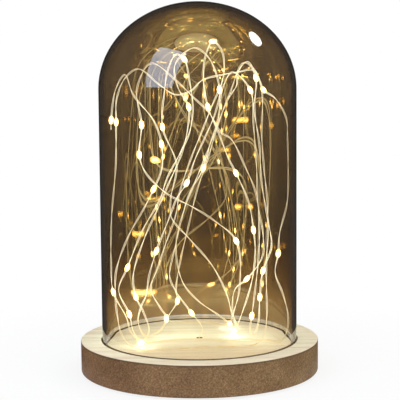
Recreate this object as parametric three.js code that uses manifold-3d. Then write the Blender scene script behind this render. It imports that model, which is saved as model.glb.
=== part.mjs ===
// Lighted glass cloche: a smoked glass dome on a round wooden base, over a heap of fine twin wire
// with warm drop lights. Millimetres, +Z up. The origin is the middle of the underside, on the
// surface that the felt pads stand on, and the front of the object looks along -Y.

import * as THREE from 'three';
import { mergeVertices } from 'three/addons/utils/BufferGeometryUtils.js';
import Module from 'manifold-3d';

const wasm = await Module();
wasm.setup();

// Clearance between pieces that seat on, pass through or run beside each other
const FIT = 0.3;

// Glass dome: a straight wall, then half an ellipse
const GLASS_OUTER_RADIUS = 61.5;
const GLASS_WALL = 2.8;
const DOME_WALL_HEIGHT = 157.5;
const DOME_CROWN_HEIGHT = 54;
const DOME_SIDES = 64;
const DOME_CROWN_STEPS = 8;

// Wooden base and the groove that the glass stands in
const GROOVE_DEPTH = 4;
const GROOVE_INNER_PLAY = 1.5;
const GROOVE_OUTER_PLAY = 0.7;
const BASE_LEDGE = 12.8;
const WOOD_OVER_POCKET = 5.9;
const BASE_TOP_EDGE_RADIUS = 0.5;
const BASE_BOTTOM_EDGE_RADIUS = 1.6;
const BASE_SIDES = 72;
const WIRE_HOLE_DIAMETER = 4;
const HOLE_SIDES = 12;

// Felt pads under the base
const PAD_DIAMETER = 12;
const PAD_THICKNESS = 1;
const PAD_INSET = 11;
const PAD_COUNT = 4;
const PAD_SIDES = 20;

// Three AAA cells side by side
const CELL_DIAMETER = 10.5;
const CELL_LENGTH = 44.5;
const CELL_PITCH = 11.3;
const CELL_COUNT = 3;
const CELL_NUB_DIAMETER = 3.8;
const CELL_NUB_LENGTH = 1;
const CELL_EDGE = 0.5;
const CELL_SIDES = 16;

// Battery tray: a cell bay that opens downwards and an electronics bay that opens upwards
const TRAY_WALL = 1.5;
const TRAY_ROOF = 1.5;
const TRAY_FLOOR = 1.5;
const TRAY_CORNER_RADIUS = 2;
const FLANGE_REACH = 5;
const FLANGE_THICKNESS = 2;
const ELECTRONICS_WIDTH = 16;
const WIRE_HOLE_SETBACK = 11;
const LEAD_NOTCH_WIDTH = 2.6;

// Battery cover with a hinge barrel along its front edge
const COVER_THICKNESS = 1.2;
const HINGE_BARREL_RADIUS = 1.2;
const HINGE_PIN_RADIUS = 0.6;
const HINGE_PIN_LENGTH = 1;
const HINGE_SIDES = 16;
const FINGER_SCOOP_RADIUS = 5;
const FINGER_SCOOP_DEPTH = 0.7;

// Contacts: thin plates, and conical springs at the negative ends
const CONTACT_THICKNESS = 0.5;
const CONTACT_HEIGHT = 8;
const CONTACT_WIDTH = 7.6;
const SPRING_LENGTH = 4.1;
const SPRING_TURNS = 3;
const SPRING_BASE_RADIUS = 3.2;
const SPRING_TIP_RADIUS = 1.8;
const SPRING_WIRE_DIAMETER = 0.6;
const SPRING_STEPS_PER_TURN = 8;
const SPRING_WIRE_SIDES = 5;

// Slide switch in the floor of the electronics bay
const SWITCH_LENGTH = 11;
const SWITCH_WIDTH = 5.5;
const SWITCH_HEIGHT = 5;
const SWITCH_X = 14;
const SLIDER_STEM_LENGTH = 2.4;
const SLIDER_STEM_WIDTH = 1.8;
const SLIDER_STEM_IN_SWITCH = 1.2;
const SLIDER_KNOB_LENGTH = 4;
const SLIDER_KNOB_WIDTH = 3.6;
const SLIDER_KNOB_HEIGHT = 0.9;
const SLIDER_RECESS_DEPTH = 0.7;
const SLIDER_TRAVEL = 3.5;

// Circuit board on two ribs, with its resistor
const BOARD_LENGTH = 18;
const BOARD_WIDTH = 11;
const BOARD_THICKNESS = 1.2;
const BOARD_X = -4;
const BOARD_RIB_HEIGHT = 3.7;
const BOARD_RIB_WIDTH = 1.2;
const BOARD_RIB_INSET = 3;
const RESISTOR_LENGTH = 6;
const RESISTOR_DIAMETER = 2.2;
const RESISTOR_WAIST_DIAMETER = 1.8;
const RESISTOR_LEG_DIAMETER = 0.6;
const RESISTOR_LEG_SPAN = 9;
const RESISTOR_Y = 6;
const LEAD_DIAMETER = 0.8;
const LEAD_SIDES = 8;
const LEAD_STEPS = 14;

// Two screws hold the tray's flange to the wood
const SCREW_HEAD_DIAMETER = 4;
const SCREW_HEAD_HEIGHT = 0.8;
const SCREW_SHANK_DIAMETER = 2;
const SCREW_SHANK_LENGTH = 5;
const SCREW_SIDES = 12;

// String of lights: a fine twin wire and the clear drops on it
const WIRE_DIAMETER = 1;
const WIRE_SIDES = 6;
const WIRE_STEP = 12;
const LIGHT_DIAMETER = 3;
const LIGHT_LENGTH = 5;
const LIGHT_NECK_DIAMETER = 2.3;
const LIGHT_SIDES = 6;
const LIGHT_STRAIGHT = 7;
const GAP_SAMPLE = 1;
const GAP_SKIP = 10;

// Heights and radii that follow from the sizes above
const baseBottom = PAD_THICKNESS;
const coverTop = baseBottom + COVER_THICKNESS;
const bayRoof = coverTop + CELL_DIAMETER + 2 * FIT;
const trayTop = bayRoof + TRAY_ROOF;
const pocketRoof = trayTop + FIT;
const baseTop = pocketRoof + WOOD_OVER_POCKET;
const glassInnerRadius = GLASS_OUTER_RADIUS - GLASS_WALL;
const grooveOuterRadius = GLASS_OUTER_RADIUS + GROOVE_OUTER_PLAY;
const grooveInnerRadius = glassInnerRadius - GROOVE_INNER_PLAY;
const baseRadius = grooveOuterRadius + BASE_LEDGE;
const grooveFloor = baseTop - GROOVE_DEPTH;
const glassRim = grooveFloor + FIT;
const springLine = baseTop + DOME_WALL_HEIGHT;

// Plan of the tray: cells lie along X, the electronics bay is behind them under the wire hole
const springRoom = FIT + CONTACT_THICKNESS + SPRING_LENGTH + FIT;
const plateRoom = FIT + CONTACT_THICKNESS + FIT;
const bayLength = CELL_LENGTH + springRoom + plateRoom;
const bayHalf = bayLength / 2;
const bayWidth = (CELL_COUNT - 1) * CELL_PITCH + CELL_DIAMETER + 2 * FIT;
const electronicsBack = WIRE_HOLE_SETBACK;
const electronicsFront = electronicsBack - ELECTRONICS_WIDTH;
const electronicsMiddle = (electronicsBack + electronicsFront) / 2;
const bayBack = electronicsFront - TRAY_WALL;
const bayFront = bayBack - bayWidth;
const trayLength = bayLength + 2 * TRAY_WALL;
const trayBack = electronicsBack + TRAY_WALL;
const trayFront = bayFront - TRAY_WALL;
const trayWidth = trayBack - trayFront;
const trayMiddle = (trayBack + trayFront) / 2;
const floorTop = baseBottom + TRAY_FLOOR;
const cellHeight = coverTop + FIT + CELL_DIAMETER / 2;
const cellRowBack = bayBack - FIT - CELL_DIAMETER / 2;
const hingeY = bayFront + FIT + HINGE_BARREL_RADIUS;
const hingeZ = baseBottom + HINGE_BARREL_RADIUS;
const boardBottom = floorTop + BOARD_RIB_HEIGHT + FIT;
const boardTop = boardBottom + BOARD_THICKNESS;
const screwX = trayLength / 2 + FLANGE_REACH / 2;
const leadHeight = bayRoof - FIT - LEAD_DIAMETER / 2;

// Finishes
const wood = new THREE.MeshStandardMaterial({ color: 0xa98562, roughness: 0.6, metalness: 0 });
const smokedGlass = new THREE.MeshStandardMaterial({ color: 0x6b5a4c, roughness: 0.05, metalness: 0 });
smokedGlass.transparent = true;
smokedGlass.opacity = 0.45;
const felt = new THREE.MeshStandardMaterial({ color: 0x3a332c, roughness: 0.95, metalness: 0 });
const blackPlastic = new THREE.MeshStandardMaterial({ color: 0x1c1c1e, roughness: 0.5, metalness: 0 });
const cellWrap = new THREE.MeshStandardMaterial({ color: 0x8a8f94, roughness: 0.35, metalness: 0.3 });
const springSteel = new THREE.MeshStandardMaterial({ color: 0xb9bcc0, roughness: 0.3, metalness: 1 });
const boardGreen = new THREE.MeshStandardMaterial({ color: 0x2f5a3c, roughness: 0.5, metalness: 0 });
const resistorTan = new THREE.MeshStandardMaterial({ color: 0xc9ae83, roughness: 0.5, metalness: 0 });
const leadRed = new THREE.MeshStandardMaterial({ color: 0xa02420, roughness: 0.5, metalness: 0 });
const leadBlack = new THREE.MeshStandardMaterial({ color: 0x161616, roughness: 0.5, metalness: 0 });
const copperWire = new THREE.MeshStandardMaterial({ color: 0xd9c08a, roughness: 0.35, metalness: 0.4 });
const warmDrop = new THREE.MeshStandardMaterial({ color: 0xffe2b0, roughness: 0.2, metalness: 0 });
warmDrop.emissive = new THREE.Color(0xffb85c);

// Route of the light wire, chosen by eye: it leaves the hole in the base and climbs and falls in
// long loops. A point that carries a light is marked true. The runs alternate up and down.
const LIGHT = true;
const ROUTE = [
  // out of the board, through the hole, up the back to the first crown
  [0, 0, 8], [0, 0, 15], [0, 0, 21.5], [2, 5, 26], [-5, 10, 35, LIGHT], [-15, 16, 48], [-19, 20, 57],
  [-15, 25, 77], [-11, 28, 94], [-6, 30, 109], [3.5, 30, 126, LIGHT], [8, 29, 142], [13, 27, 156],
  [16, 25, 177], [22.5, 24, 188], [34, 22, 176.5, LIGHT],
  // down the right
  [36, 22, 154], [38, 24, 128], [39, 24, 102], [42, 22, 84], [41, 15, 70], [31, 17, 55.5, LIGHT],
  [23.5, 17.5, 49], [21.5, 18, 37], [23, 18.5, 27], [25, 15, 23], [24, 11.5, 27],
  // up across the middle to the left
  [21, 11, 34], [18, 11, 46], [9, 9, 65], [-5.5, 7, 83], [-17, 6, 97], [-17.5, 5, 109],
  [-13.5, 3, 131], [-22, 0, 155, LIGHT], [-20.5, -1, 177], [-18, -2, 191], [-13, -2, 200],
  // over the crown and down to the left
  [-8, 0, 197, LIGHT], [-5, 2, 184], [-3, 3, 167], [-5, 1, 152], [-11, -2, 139], [-19.5, -4, 123],
  [-24, -5, 110], [-35, -7, 91], [-44.5, -9, 68, LIGHT], [-50, -10, 54], [-43.5, -12, 39, LIGHT],
  [-41, -15, 29], [-36, -21, 23.5, LIGHT],
  // up the front of the middle
  [-31, -22, 30], [-34.5, -19, 42], [-39, -17, 51, LIGHT], [-40.5, -16, 64], [-33.5, -14, 87],
  [-25, -13, 105.5], [-19, -12, 119], [-9.5, -11, 141], [-6, -10, 156], [-5.5, -9, 168, LIGHT],
  [-12, -9, 180], [-13.5, -10, 194], [-2, -10, 204], [7, -11, 198], [13.5, -13, 178.5, LIGHT],
  // down again to the left
  [11, -15, 165], [5, -17, 151], [-2, -19, 136], [-7, -20, 122, LIGHT], [-13, -21, 113],
  [-18.5, -21, 99], [-26, -20, 80, LIGHT], [-30.5, -18, 65], [-33, -14, 51], [-36, -11, 44],
  [-38.5, -6, 33], [-34.5, -2, 23],
  // up through the middle to the highest crown
  [-26, 3, 24.5], [-21, 5, 32.5, LIGHT], [-25.5, 7, 40], [-31, 9, 51], [-26.5, 11, 64], [-21, 13, 80],
  [-14.5, 14, 98], [-12, 14, 112], [-4, 14, 135], [3, 13, 152], [9, 12, 167], [15.5, 11, 182],
  [17, 10.5, 192], [15.5, 10, 202], [10, 9, 208, LIGHT],
  // down to the right
  [5, 7, 198], [4, 5.5, 182], [6.5, 4, 167, LIGHT], [13, 4, 151], [19, 6, 135], [24, 7, 125, LIGHT],
  [32, 8, 106], [35, 8, 88.5, LIGHT], [36, 8, 74], [34, 7, 57], [29.5, 5, 42], [22, 3, 24, LIGHT],
  // up the front, over the long diagonal to the left
  [19, -4, 27], [21, -8, 37], [25, -14, 55], [23, -21, 86, LIGHT], [10, -25, 99], [-4, -28, 108.5],
  [-19, -31, 117], [-31.5, -31, 130], [-35, -30, 140.5, LIGHT], [-33.5, -29, 158.5, LIGHT],
  [-36, -27, 180], [-27.5, -26, 195], [-12, -25, 184],
  // down across the front to the right
  [-2.5, -24, 174.5], [7, -23, 165], [14, -22, 153], [20, -21, 149], [28.5, -18, 132],
  [35.5, -15, 114], [37.5, -12, 94], [37, -9, 72], [35, -7, 52], [33, -6, 36, LIGHT], [32, -5, 26],
  // up the right
  [35, -1, 23.5], [37.5, 1, 30], [38.5, 1, 46.5, LIGHT], [40.5, 1, 63.5, LIGHT], [46, 1, 79],
  [44, 2, 95], [40, 2, 119],
  [38.5, 2, 144], [35.5, 2, 166], [36.5, 2, 185, LIGHT], [31.5, 5, 195], [26, 12, 189], [25, 24, 179],
  // down the back
  [19.5, 32, 170], [12, 36, 151], [5, 38, 133], [-3, 38.5, 114], [-9, 38, 99], [-15, 36, 74],
  [-11, 34, 51], [-1, 31, 39], [12.5, 27, 30], [20, 27, 24, LIGHT], [17, 36, 22], [4, 43, 22],
  [-12, 43, 22], [-21, 39, 25],
  // up the back
  [-14.5, 40, 37, LIGHT], [-15.5, 41, 44], [-12, 43, 65], [-7, 45, 85], [-1, 46, 109], [7, 45, 132],
  [13, 43, 152], [21, 39, 173], [30, 31, 194], [38, 23, 188], [42, 14, 177, LIGHT],
  // down the right wall
  [49, 9, 172], [56, 4, 160], [56.8, 2, 147], [56.8, 0, 113], [55.5, -2, 105], [50.5, -6, 88],
  [49.5, -8, 76, LIGHT], [47.5, -9, 64], [52, -10, 51], [55.5, -9, 36], [54.5, -9.5, 27], [50, -9, 22],
  [44, -7.5, 22],
  // over the plateau and up the left wall
  [37, -9.5, 22], [28, -12, 22], [14, -12, 22], [0, -8, 22], [-14, -9, 22], [-35, -11, 22], [-43, -6, 26], [-46, -3, 35], [-54.5, -1, 51, LIGHT],
  [-55.8, 0, 70], [-55.2, 1, 97], [-52, 3, 131], [-51.5, 5, 158, LIGHT], [-51, 7, 173], [-45, 8, 186],
  [-37, 9, 191], [-24, 8, 181],
  // a low arch across to the right, and down there
  [-14, 3, 175], [-4, -3.5, 177.5], [3, -4, 184], [16.5, -4, 187.5], [26, -3, 189], [34, -4.5, 190],
  [39, -6, 182], [40, -7, 170], [39.5, -7, 150], [41, -6.5, 128], [43, -6, 108], [43, -8, 88],
  [42, -8.5, 70], [42, -10, 52], [42, -12, 37], [39.5, -16.5, 25], [32, -22, 22], [10, -26, 22],
  [-18, -30, 22], [-38, -28.5, 22], [-47, -23, 28],
  // up the front left to the end of the string
  [-50, -19.5, 39], [-51, -20, 54], [-50, -21, 69], [-42.5, -24, 90], [-32.5, -27, 108],
  [-27, -25, 119, LIGHT], [-22, -23, 131], [-22, -21, 146, LIGHT], [-26.5, -19, 160], [-39, -16, 176],
  [-44, -13, 188], [-50, -10, 179], [-53.5, -6, 160, LIGHT], [-53.8, -5, 154],
];

// Closed mesh of a geometry, with its shared corners merged and its empty triangles left out
function toSolid(geometry) {
  const bare = new THREE.BufferGeometry();
  bare.setAttribute('position', geometry.getAttribute('position').clone());
  if (geometry.index) bare.setIndex(geometry.index.clone());
  const merged = mergeVertices(bare, 1e-4);
  const corners = merged.index.array;
  const kept = [];
  for (let i = 0; i < corners.length; i += 3) {
    const [a, b, c] = [corners[i], corners[i + 1], corners[i + 2]];
    if (a !== b && b !== c && c !== a) kept.push(a, b, c);
  }
  return new wasm.Manifold(new wasm.Mesh({
    numProp: 3,
    vertProperties: new Float32Array(merged.getAttribute('position').array),
    triVerts: new Uint32Array(kept),
  }));
}

function toGeometry(solid) {
  const mesh = solid.getMesh();
  const geometry = new THREE.BufferGeometry();
  geometry.setAttribute('position', new THREE.BufferAttribute(new Float32Array(mesh.vertProperties), 3));
  geometry.setIndex(new THREE.BufferAttribute(new Uint32Array(mesh.triVerts), 1));
  geometry.computeVertexNormals();
  return geometry;
}

// One body: the first geometry with some others joined to it and some cut from it
function fuse(first, joined = [], cut = []) {
  let solid = toSolid(first);
  for (const geometry of joined) solid = solid.add(toSolid(geometry));
  for (const geometry of cut) solid = solid.subtract(toSolid(geometry));
  return toGeometry(solid);
}

// Points of an ellipse arc in the plane of radius and height, angles in degrees
function arc(middleRadius, middleHeight, radiusAcross, radiusUp, from, to, steps) {
  return Array.from({ length: steps + 1 }, (_, i) => {
    const angle = THREE.MathUtils.degToRad(from + (to - from) * i / steps);
    return [middleRadius + radiusAcross * Math.cos(angle), middleHeight + radiusUp * Math.sin(angle)];
  });
}

// Solid of revolution about Z from a profile of [radius, height] that runs up the outside
function revolve(profile, sides) {
  const points = profile.map(([radius, height]) => new THREE.Vector2(Math.max(radius, 0), height));
  return new THREE.LatheGeometry(points, sides).rotateX(Math.PI / 2);
}

// Round bar about Z
function bar(radius, from, to, sides) {
  return revolve([[0, from], [radius, from], [radius, to], [0, to]], sides);
}

// Round bar along X
function barAlongX(radius, from, to, sides) {
  return bar(radius, from, to, sides).rotateY(Math.PI / 2);
}

// Block given by its lowest and highest corners
function block(low, high) {
  const size = high.map((value, axis) => value - low[axis]);
  const middle = high.map((value, axis) => (value + low[axis]) / 2);
  return new THREE.BoxGeometry(...size).translate(...middle);
}

// Plate with round corners about (x, y), from one height to another
function roundedPlate(x, y, length, width, radius, from, to) {
  const outline = new THREE.Shape();
  const [left, right, front, back] = [x - length / 2, x + length / 2, y - width / 2, y + width / 2];
  outline.absarc(right - radius, back - radius, radius, 0, Math.PI / 2);
  outline.absarc(left + radius, back - radius, radius, Math.PI / 2, Math.PI);
  outline.absarc(left + radius, front + radius, radius, Math.PI, 1.5 * Math.PI);
  outline.absarc(right - radius, front + radius, radius, 1.5 * Math.PI, 2 * Math.PI);
  const options = { depth: to - from, bevelEnabled: false, curveSegments: 4 };
  return new THREE.ExtrudeGeometry(outline, options).translate(0, 0, from);
}

// Tube through a chain of points: rings square to the path, turned along with it, and two flat ends
function tubeAlong(points, radius, sides) {
  const last = points.length - 1;
  const positions = [];
  const index = [];
  const heading = (i) => points[Math.min(i + 1, last)].clone().sub(points[Math.max(i - 1, 0)]).normalize();
  let along = heading(0);
  const spare = Math.abs(along.z) < 0.9 ? new THREE.Vector3(0, 0, 1) : new THREE.Vector3(1, 0, 0);
  const across = spare.cross(along).normalize();
  points.forEach((point, i) => {
    const next = heading(i);
    across.applyQuaternion(new THREE.Quaternion().setFromUnitVectors(along, next));
    across.addScaledVector(next, -across.dot(next)).normalize();
    along = next;
    const third = along.clone().cross(across);
    for (let side = 0; side < sides; side += 1) {
      const angle = 2 * Math.PI * side / sides;
      const corner = point.clone().addScaledVector(across, radius * Math.cos(angle));
      corner.addScaledVector(third, radius * Math.sin(angle));
      positions.push(corner.x, corner.y, corner.z);
    }
  });
  for (let i = 0; i < last; i += 1) {
    for (let side = 0; side < sides; side += 1) {
      const a = i * sides + side;
      const b = i * sides + (side + 1) % sides;
      index.push(a, b, b + sides, a, b + sides, a + sides);
    }
  }
  for (let side = 1; side < sides - 1; side += 1) {
    index.push(0, side + 1, side);
    index.push(last * sides, last * sides + side, last * sides + side + 1);
  }
  const geometry = new THREE.BufferGeometry();
  geometry.setAttribute('position', new THREE.BufferAttribute(new Float32Array(positions), 3));
  geometry.setIndex(index);
  geometry.computeVertexNormals();
  return geometry;
}

// Least gap of a tube to itself, on points a set distance apart along its straight pieces.
// Points nearer along the tube than the given skip are the same stretch and aren't compared.
function leastGap(points, diameter, sample, skip) {
  const samples = [];
  for (let i = 0; i < points.length - 1; i += 1) {
    const count = Math.max(1, Math.round(points[i].distanceTo(points[i + 1]) / sample));
    for (let k = 0; k < count; k += 1) samples.push(points[i].clone().lerp(points[i + 1], k / count));
  }
  const apart = Math.ceil(skip / sample);
  let least = Infinity;
  for (let i = 0; i < samples.length; i += 1) {
    for (let j = i + apart; j < samples.length; j += 1) {
      least = Math.min(least, samples[i].distanceToSquared(samples[j]));
    }
  }
  return Math.sqrt(least) - diameter;
}

const cloche = new THREE.Group();

function place(name, geometry, material) {
  const mesh = new THREE.Mesh(geometry, material);
  mesh.name = name;
  cloche.add(mesh);
  return mesh;
}

// Wooden base: a turned disc with a groove for the glass, pocketed from below for the battery tray
function woodenBase() {
  const topEdge = BASE_TOP_EDGE_RADIUS;
  const bottomEdge = BASE_BOTTOM_EDGE_RADIUS;
  const disc = revolve([
    [0, baseBottom],
    ...arc(baseRadius - bottomEdge, baseBottom + bottomEdge, bottomEdge, bottomEdge, -90, 0, 4),
    ...arc(baseRadius - topEdge, baseTop - topEdge, topEdge, topEdge, 0, 90, 2),
    [grooveOuterRadius, baseTop],
    [grooveOuterRadius, grooveFloor],
    [grooveInnerRadius, grooveFloor],
    [grooveInnerRadius, baseTop],
    [0, baseTop],
  ], BASE_SIDES);
  const below = baseBottom - FIT;
  const pocketRadius = TRAY_CORNER_RADIUS + FIT;
  const pocket = roundedPlate(0, trayMiddle, trayLength + 2 * FIT, trayWidth + 2 * FIT, pocketRadius,
    below, pocketRoof);
  const rebateLength = trayLength + 2 * (FLANGE_REACH + FIT);
  const rebateWidth = trayWidth + 2 * (FLANGE_REACH + FIT);
  const rebate = roundedPlate(0, trayMiddle, rebateLength, rebateWidth, pocketRadius + FLANGE_REACH,
    below, baseBottom + FLANGE_THICKNESS + FIT);
  const wireHole = bar(WIRE_HOLE_DIAMETER / 2, pocketRoof - FIT, baseTop + FIT, HOLE_SIDES);
  const pilotTop = screwTop() + FIT;
  const pilots = [-screwX, screwX].map((x) => bar(SCREW_SHANK_DIAMETER / 2 + FIT, below, pilotTop, SCREW_SIDES)
    .translate(x, trayMiddle, 0));
  return fuse(disc, [], [pocket, rebate, wireHole, ...pilots]);
}

// Glass dome: straight wall and half-ellipse crown, with an even wall and a rounded rim
function glassDome() {
  const rim = GLASS_WALL / 2;
  const middle = glassInnerRadius + rim;
  return revolve([
    [0, springLine + DOME_CROWN_HEIGHT - GLASS_WALL],
    ...arc(0, springLine, glassInnerRadius, DOME_CROWN_HEIGHT - GLASS_WALL, 90, 0, DOME_CROWN_STEPS).slice(1),
    ...arc(middle, glassRim + rim, rim, rim, -180, 0, 4),
    ...arc(0, springLine, GLASS_OUTER_RADIUS, DOME_CROWN_HEIGHT, 0, 90, DOME_CROWN_STEPS),
  ], DOME_SIDES);
}

function feltPads() {
  const ring = baseRadius - PAD_INSET;
  for (let i = 0; i < PAD_COUNT; i += 1) {
    const angle = 2 * Math.PI * (i + 0.5) / PAD_COUNT;
    const pad = bar(PAD_DIAMETER / 2, 0, PAD_THICKNESS, PAD_SIDES);
    pad.translate(ring * Math.cos(angle), ring * Math.sin(angle), 0);
    place(`foot_pad_${i + 1}`, pad, felt);
  }
}

// Battery tray: one moulding with two bays, a flange, board ribs, hinge holes and the switch slot
function batteryTray() {
  const below = baseBottom - FIT;
  const body = roundedPlate(0, trayMiddle, trayLength, trayWidth, TRAY_CORNER_RADIUS, baseBottom, trayTop);
  const flange = roundedPlate(0, trayMiddle, trayLength + 2 * FLANGE_REACH, trayWidth + 2 * FLANGE_REACH,
    TRAY_CORNER_RADIUS + FLANGE_REACH, baseBottom, baseBottom + FLANGE_THICKNESS);
  const cellBay = block([-bayHalf, bayFront, below], [bayHalf, bayBack, bayRoof]);
  const electronicsBay = block([-bayHalf, electronicsFront, floorTop], [bayHalf, electronicsBack, trayTop + FIT]);
  const ribs = [-1, 1].map((side) => {
    const x = BOARD_X + side * (BOARD_LENGTH / 2 - BOARD_RIB_INSET);
    const half = BOARD_RIB_WIDTH / 2;
    return block([x - half, electronicsFront - FIT, floorTop - FIT],
      [x + half, electronicsBack + FIT, floorTop + BOARD_RIB_HEIGHT]);
  });
  const notches = [-1, 1].map((side) => {
    const x = side * (bayHalf - LEAD_NOTCH_WIDTH / 2);
    const half = LEAD_NOTCH_WIDTH / 2;
    return block([x - half, bayBack - FIT, leadHeight - LEAD_DIAMETER / 2 - FIT],
      [x + half, electronicsFront + FIT, trayTop + FIT]);
  });
  const pinHoles = [-1, 1].map((side) => {
    const reach = HINGE_PIN_LENGTH + FIT;
    const from = side < 0 ? -bayHalf - reach : bayHalf - FIT;
    const hole = barAlongX(HINGE_PIN_RADIUS + FIT, from, from + reach + FIT, HINGE_SIDES);
    return hole.translate(0, hingeY, hingeZ);
  });
  const stemHalf = (SLIDER_STEM_LENGTH + SLIDER_TRAVEL) / 2 + FIT;
  const stemSide = SLIDER_STEM_WIDTH / 2 + FIT;
  const stemSlot = block([SWITCH_X - stemHalf, electronicsMiddle - stemSide, below],
    [SWITCH_X + stemHalf, electronicsMiddle + stemSide, floorTop + FIT]);
  const knobHalf = (SLIDER_KNOB_LENGTH + SLIDER_TRAVEL) / 2 + FIT;
  const knobSide = SLIDER_KNOB_WIDTH / 2 + FIT;
  const knobRecess = block([SWITCH_X - knobHalf, electronicsMiddle - knobSide, below],
    [SWITCH_X + knobHalf, electronicsMiddle + knobSide, baseBottom + SLIDER_RECESS_DEPTH]);
  const scoop = bar(FINGER_SCOOP_RADIUS, below, baseBottom + FINGER_SCOOP_DEPTH, HOLE_SIDES)
    .translate(0, bayBack, 0);
  const screwCuts = [-screwX, screwX].flatMap((x) => [
    bar(SCREW_SHANK_DIAMETER / 2 + FIT, below, baseBottom + FLANGE_THICKNESS + FIT, SCREW_SIDES),
    bar(SCREW_HEAD_DIAMETER / 2 + FIT, below, baseBottom + FIT + SCREW_HEAD_HEIGHT, SCREW_SIDES),
  ].map((cut) => cut.translate(x, trayMiddle, 0)));
  const shell = toSolid(fuse(body, [flange], [cellBay, electronicsBay]));
  const ribbed = ribs.reduce((solid, rib) => solid.add(toSolid(rib)), shell);
  const cuts = [...notches, ...pinHoles, stemSlot, knobRecess, scoop, ...screwCuts];
  return toGeometry(cuts.reduce((solid, cut) => solid.subtract(toSolid(cut)), ribbed));
}

// Battery cover: a plate with its hinge barrel on the front edge and a pin at each end of it
function batteryCover() {
  const half = bayHalf - FIT;
  const plate = block([-half, hingeY, baseBottom], [half, bayBack - FIT, coverTop]);
  const barrel = barAlongX(HINGE_BARREL_RADIUS, -half, half, HINGE_SIDES).translate(0, hingeY, hingeZ);
  const pinHalf = bayHalf + HINGE_PIN_LENGTH - FIT;
  const pins = barAlongX(HINGE_PIN_RADIUS, -pinHalf, pinHalf, HINGE_SIDES).translate(0, hingeY, hingeZ);
  return fuse(plate, [barrel, pins]);
}

// AAA cells, each turned end for end against the next
function batteryCells() {
  const radius = CELL_DIAMETER / 2;
  const can = CELL_LENGTH - CELL_NUB_LENGTH;
  const nub = CELL_NUB_DIAMETER / 2;
  for (let i = 0; i < CELL_COUNT; i += 1) {
    const cell = revolve([
      [0, 0], [radius - CELL_EDGE, 0], [radius, CELL_EDGE], [radius, can - CELL_EDGE],
      [radius - CELL_EDGE, can], [nub, can], [nub, CELL_LENGTH], [0, CELL_LENGTH],
    ], CELL_SIDES);
    const facing = cellFacing(i);
    cell.rotateY(facing * Math.PI / 2);
    cell.translate(facing * (springRoom - bayHalf), cellY(i), cellHeight);
    place(`battery_cell_${i + 1}`, cell, cellWrap);
  }
}

function cellY(i) {
  return cellRowBack - i * CELL_PITCH;
}

// +1 where a cell's positive end points along +X, -1 where it points along -X
function cellFacing(i) {
  return i % 2 === 0 ? 1 : -1;
}

// Conical spring along X: a helix whose radius falls from the plate to the tip
function springPath(side, y) {
  const steps = SPRING_TURNS * SPRING_STEPS_PER_TURN;
  const root = bayHalf - FIT - CONTACT_THICKNESS / 2;
  const wire = SPRING_WIRE_DIAMETER / 2;
  const reach = CONTACT_THICKNESS / 2 + SPRING_LENGTH - wire;
  return Array.from({ length: steps + 1 }, (_, k) => {
    const share = k / steps;
    const radius = SPRING_BASE_RADIUS + (SPRING_TIP_RADIUS - SPRING_BASE_RADIUS) * share;
    const angle = 2 * Math.PI * SPRING_TURNS * share;
    return new THREE.Vector3(side * (root - reach * share), y + radius * Math.cos(angle),
      cellHeight + radius * Math.sin(angle));
  });
}

// A contact: one plate against an end wall, behind one cell or bridging two, with its spring if any
function contact(side, plateFrom, plateTo, springCell) {
  const outer = side * (bayHalf - FIT);
  const inner = side * (bayHalf - FIT - CONTACT_THICKNESS);
  const half = CONTACT_HEIGHT / 2;
  const plate = block([Math.min(outer, inner), plateFrom, cellHeight - half],
    [Math.max(outer, inner), plateTo, cellHeight + half]);
  if (springCell === undefined) return plate;
  const path = springPath(side, cellY(springCell));
  const gap = leastGap(path, SPRING_WIRE_DIAMETER, SPRING_WIRE_DIAMETER / 4, 2 * SPRING_TIP_RADIUS);
  console.log(`contact spring ${springCell + 1}: least gap to itself ${gap.toFixed(2)} mm`);
  return fuse(plate, [tubeAlong(path, SPRING_WIRE_DIAMETER / 2, SPRING_WIRE_SIDES)]);
}

function contacts() {
  const half = CONTACT_WIDTH / 2;
  place('positive_contact', contact(1, cellY(0) - half, cellY(0) + half), springSteel);
  place('bridge_contact_left', contact(-1, cellY(1) - half, cellY(0) + half, 0), springSteel);
  place('bridge_contact_right', contact(1, cellY(2) - half, cellY(1) + half, 1), springSteel);
  place('negative_contact', contact(-1, cellY(2) - half, cellY(2) + half, 2), springSteel);
}

// Slide switch: the body over the slot, and the slider with its stem and knob at the off end
function slideSwitch() {
  const bottom = floorTop + FIT;
  const middle = electronicsMiddle;
  const body = block([SWITCH_X - SWITCH_LENGTH / 2, middle - SWITCH_WIDTH / 2, bottom],
    [SWITCH_X + SWITCH_LENGTH / 2, middle + SWITCH_WIDTH / 2, bottom + SWITCH_HEIGHT]);
  const slotHalf = (SLIDER_STEM_LENGTH + SLIDER_TRAVEL) / 2 + FIT;
  const slotSide = SLIDER_STEM_WIDTH / 2 + FIT;
  const stemTop = bottom + SLIDER_STEM_IN_SWITCH;
  const slot = block([SWITCH_X - slotHalf, middle - slotSide, bottom - FIT],
    [SWITCH_X + slotHalf, middle + slotSide, stemTop + FIT]);
  place('switch_body', fuse(body, [], [slot]), blackPlastic);
  const offX = SWITCH_X - SLIDER_TRAVEL / 2;
  const knobTop = baseBottom + SLIDER_RECESS_DEPTH - FIT;
  const stem = block([offX - SLIDER_STEM_LENGTH / 2, middle - SLIDER_STEM_WIDTH / 2, knobTop - FIT],
    [offX + SLIDER_STEM_LENGTH / 2, middle + SLIDER_STEM_WIDTH / 2, stemTop]);
  const knob = roundedPlate(offX, middle, SLIDER_KNOB_LENGTH, SLIDER_KNOB_WIDTH, FIT,
    knobTop - SLIDER_KNOB_HEIGHT, knobTop);
  place('switch_slider', fuse(knob, [stem]), blackPlastic);
}

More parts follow.
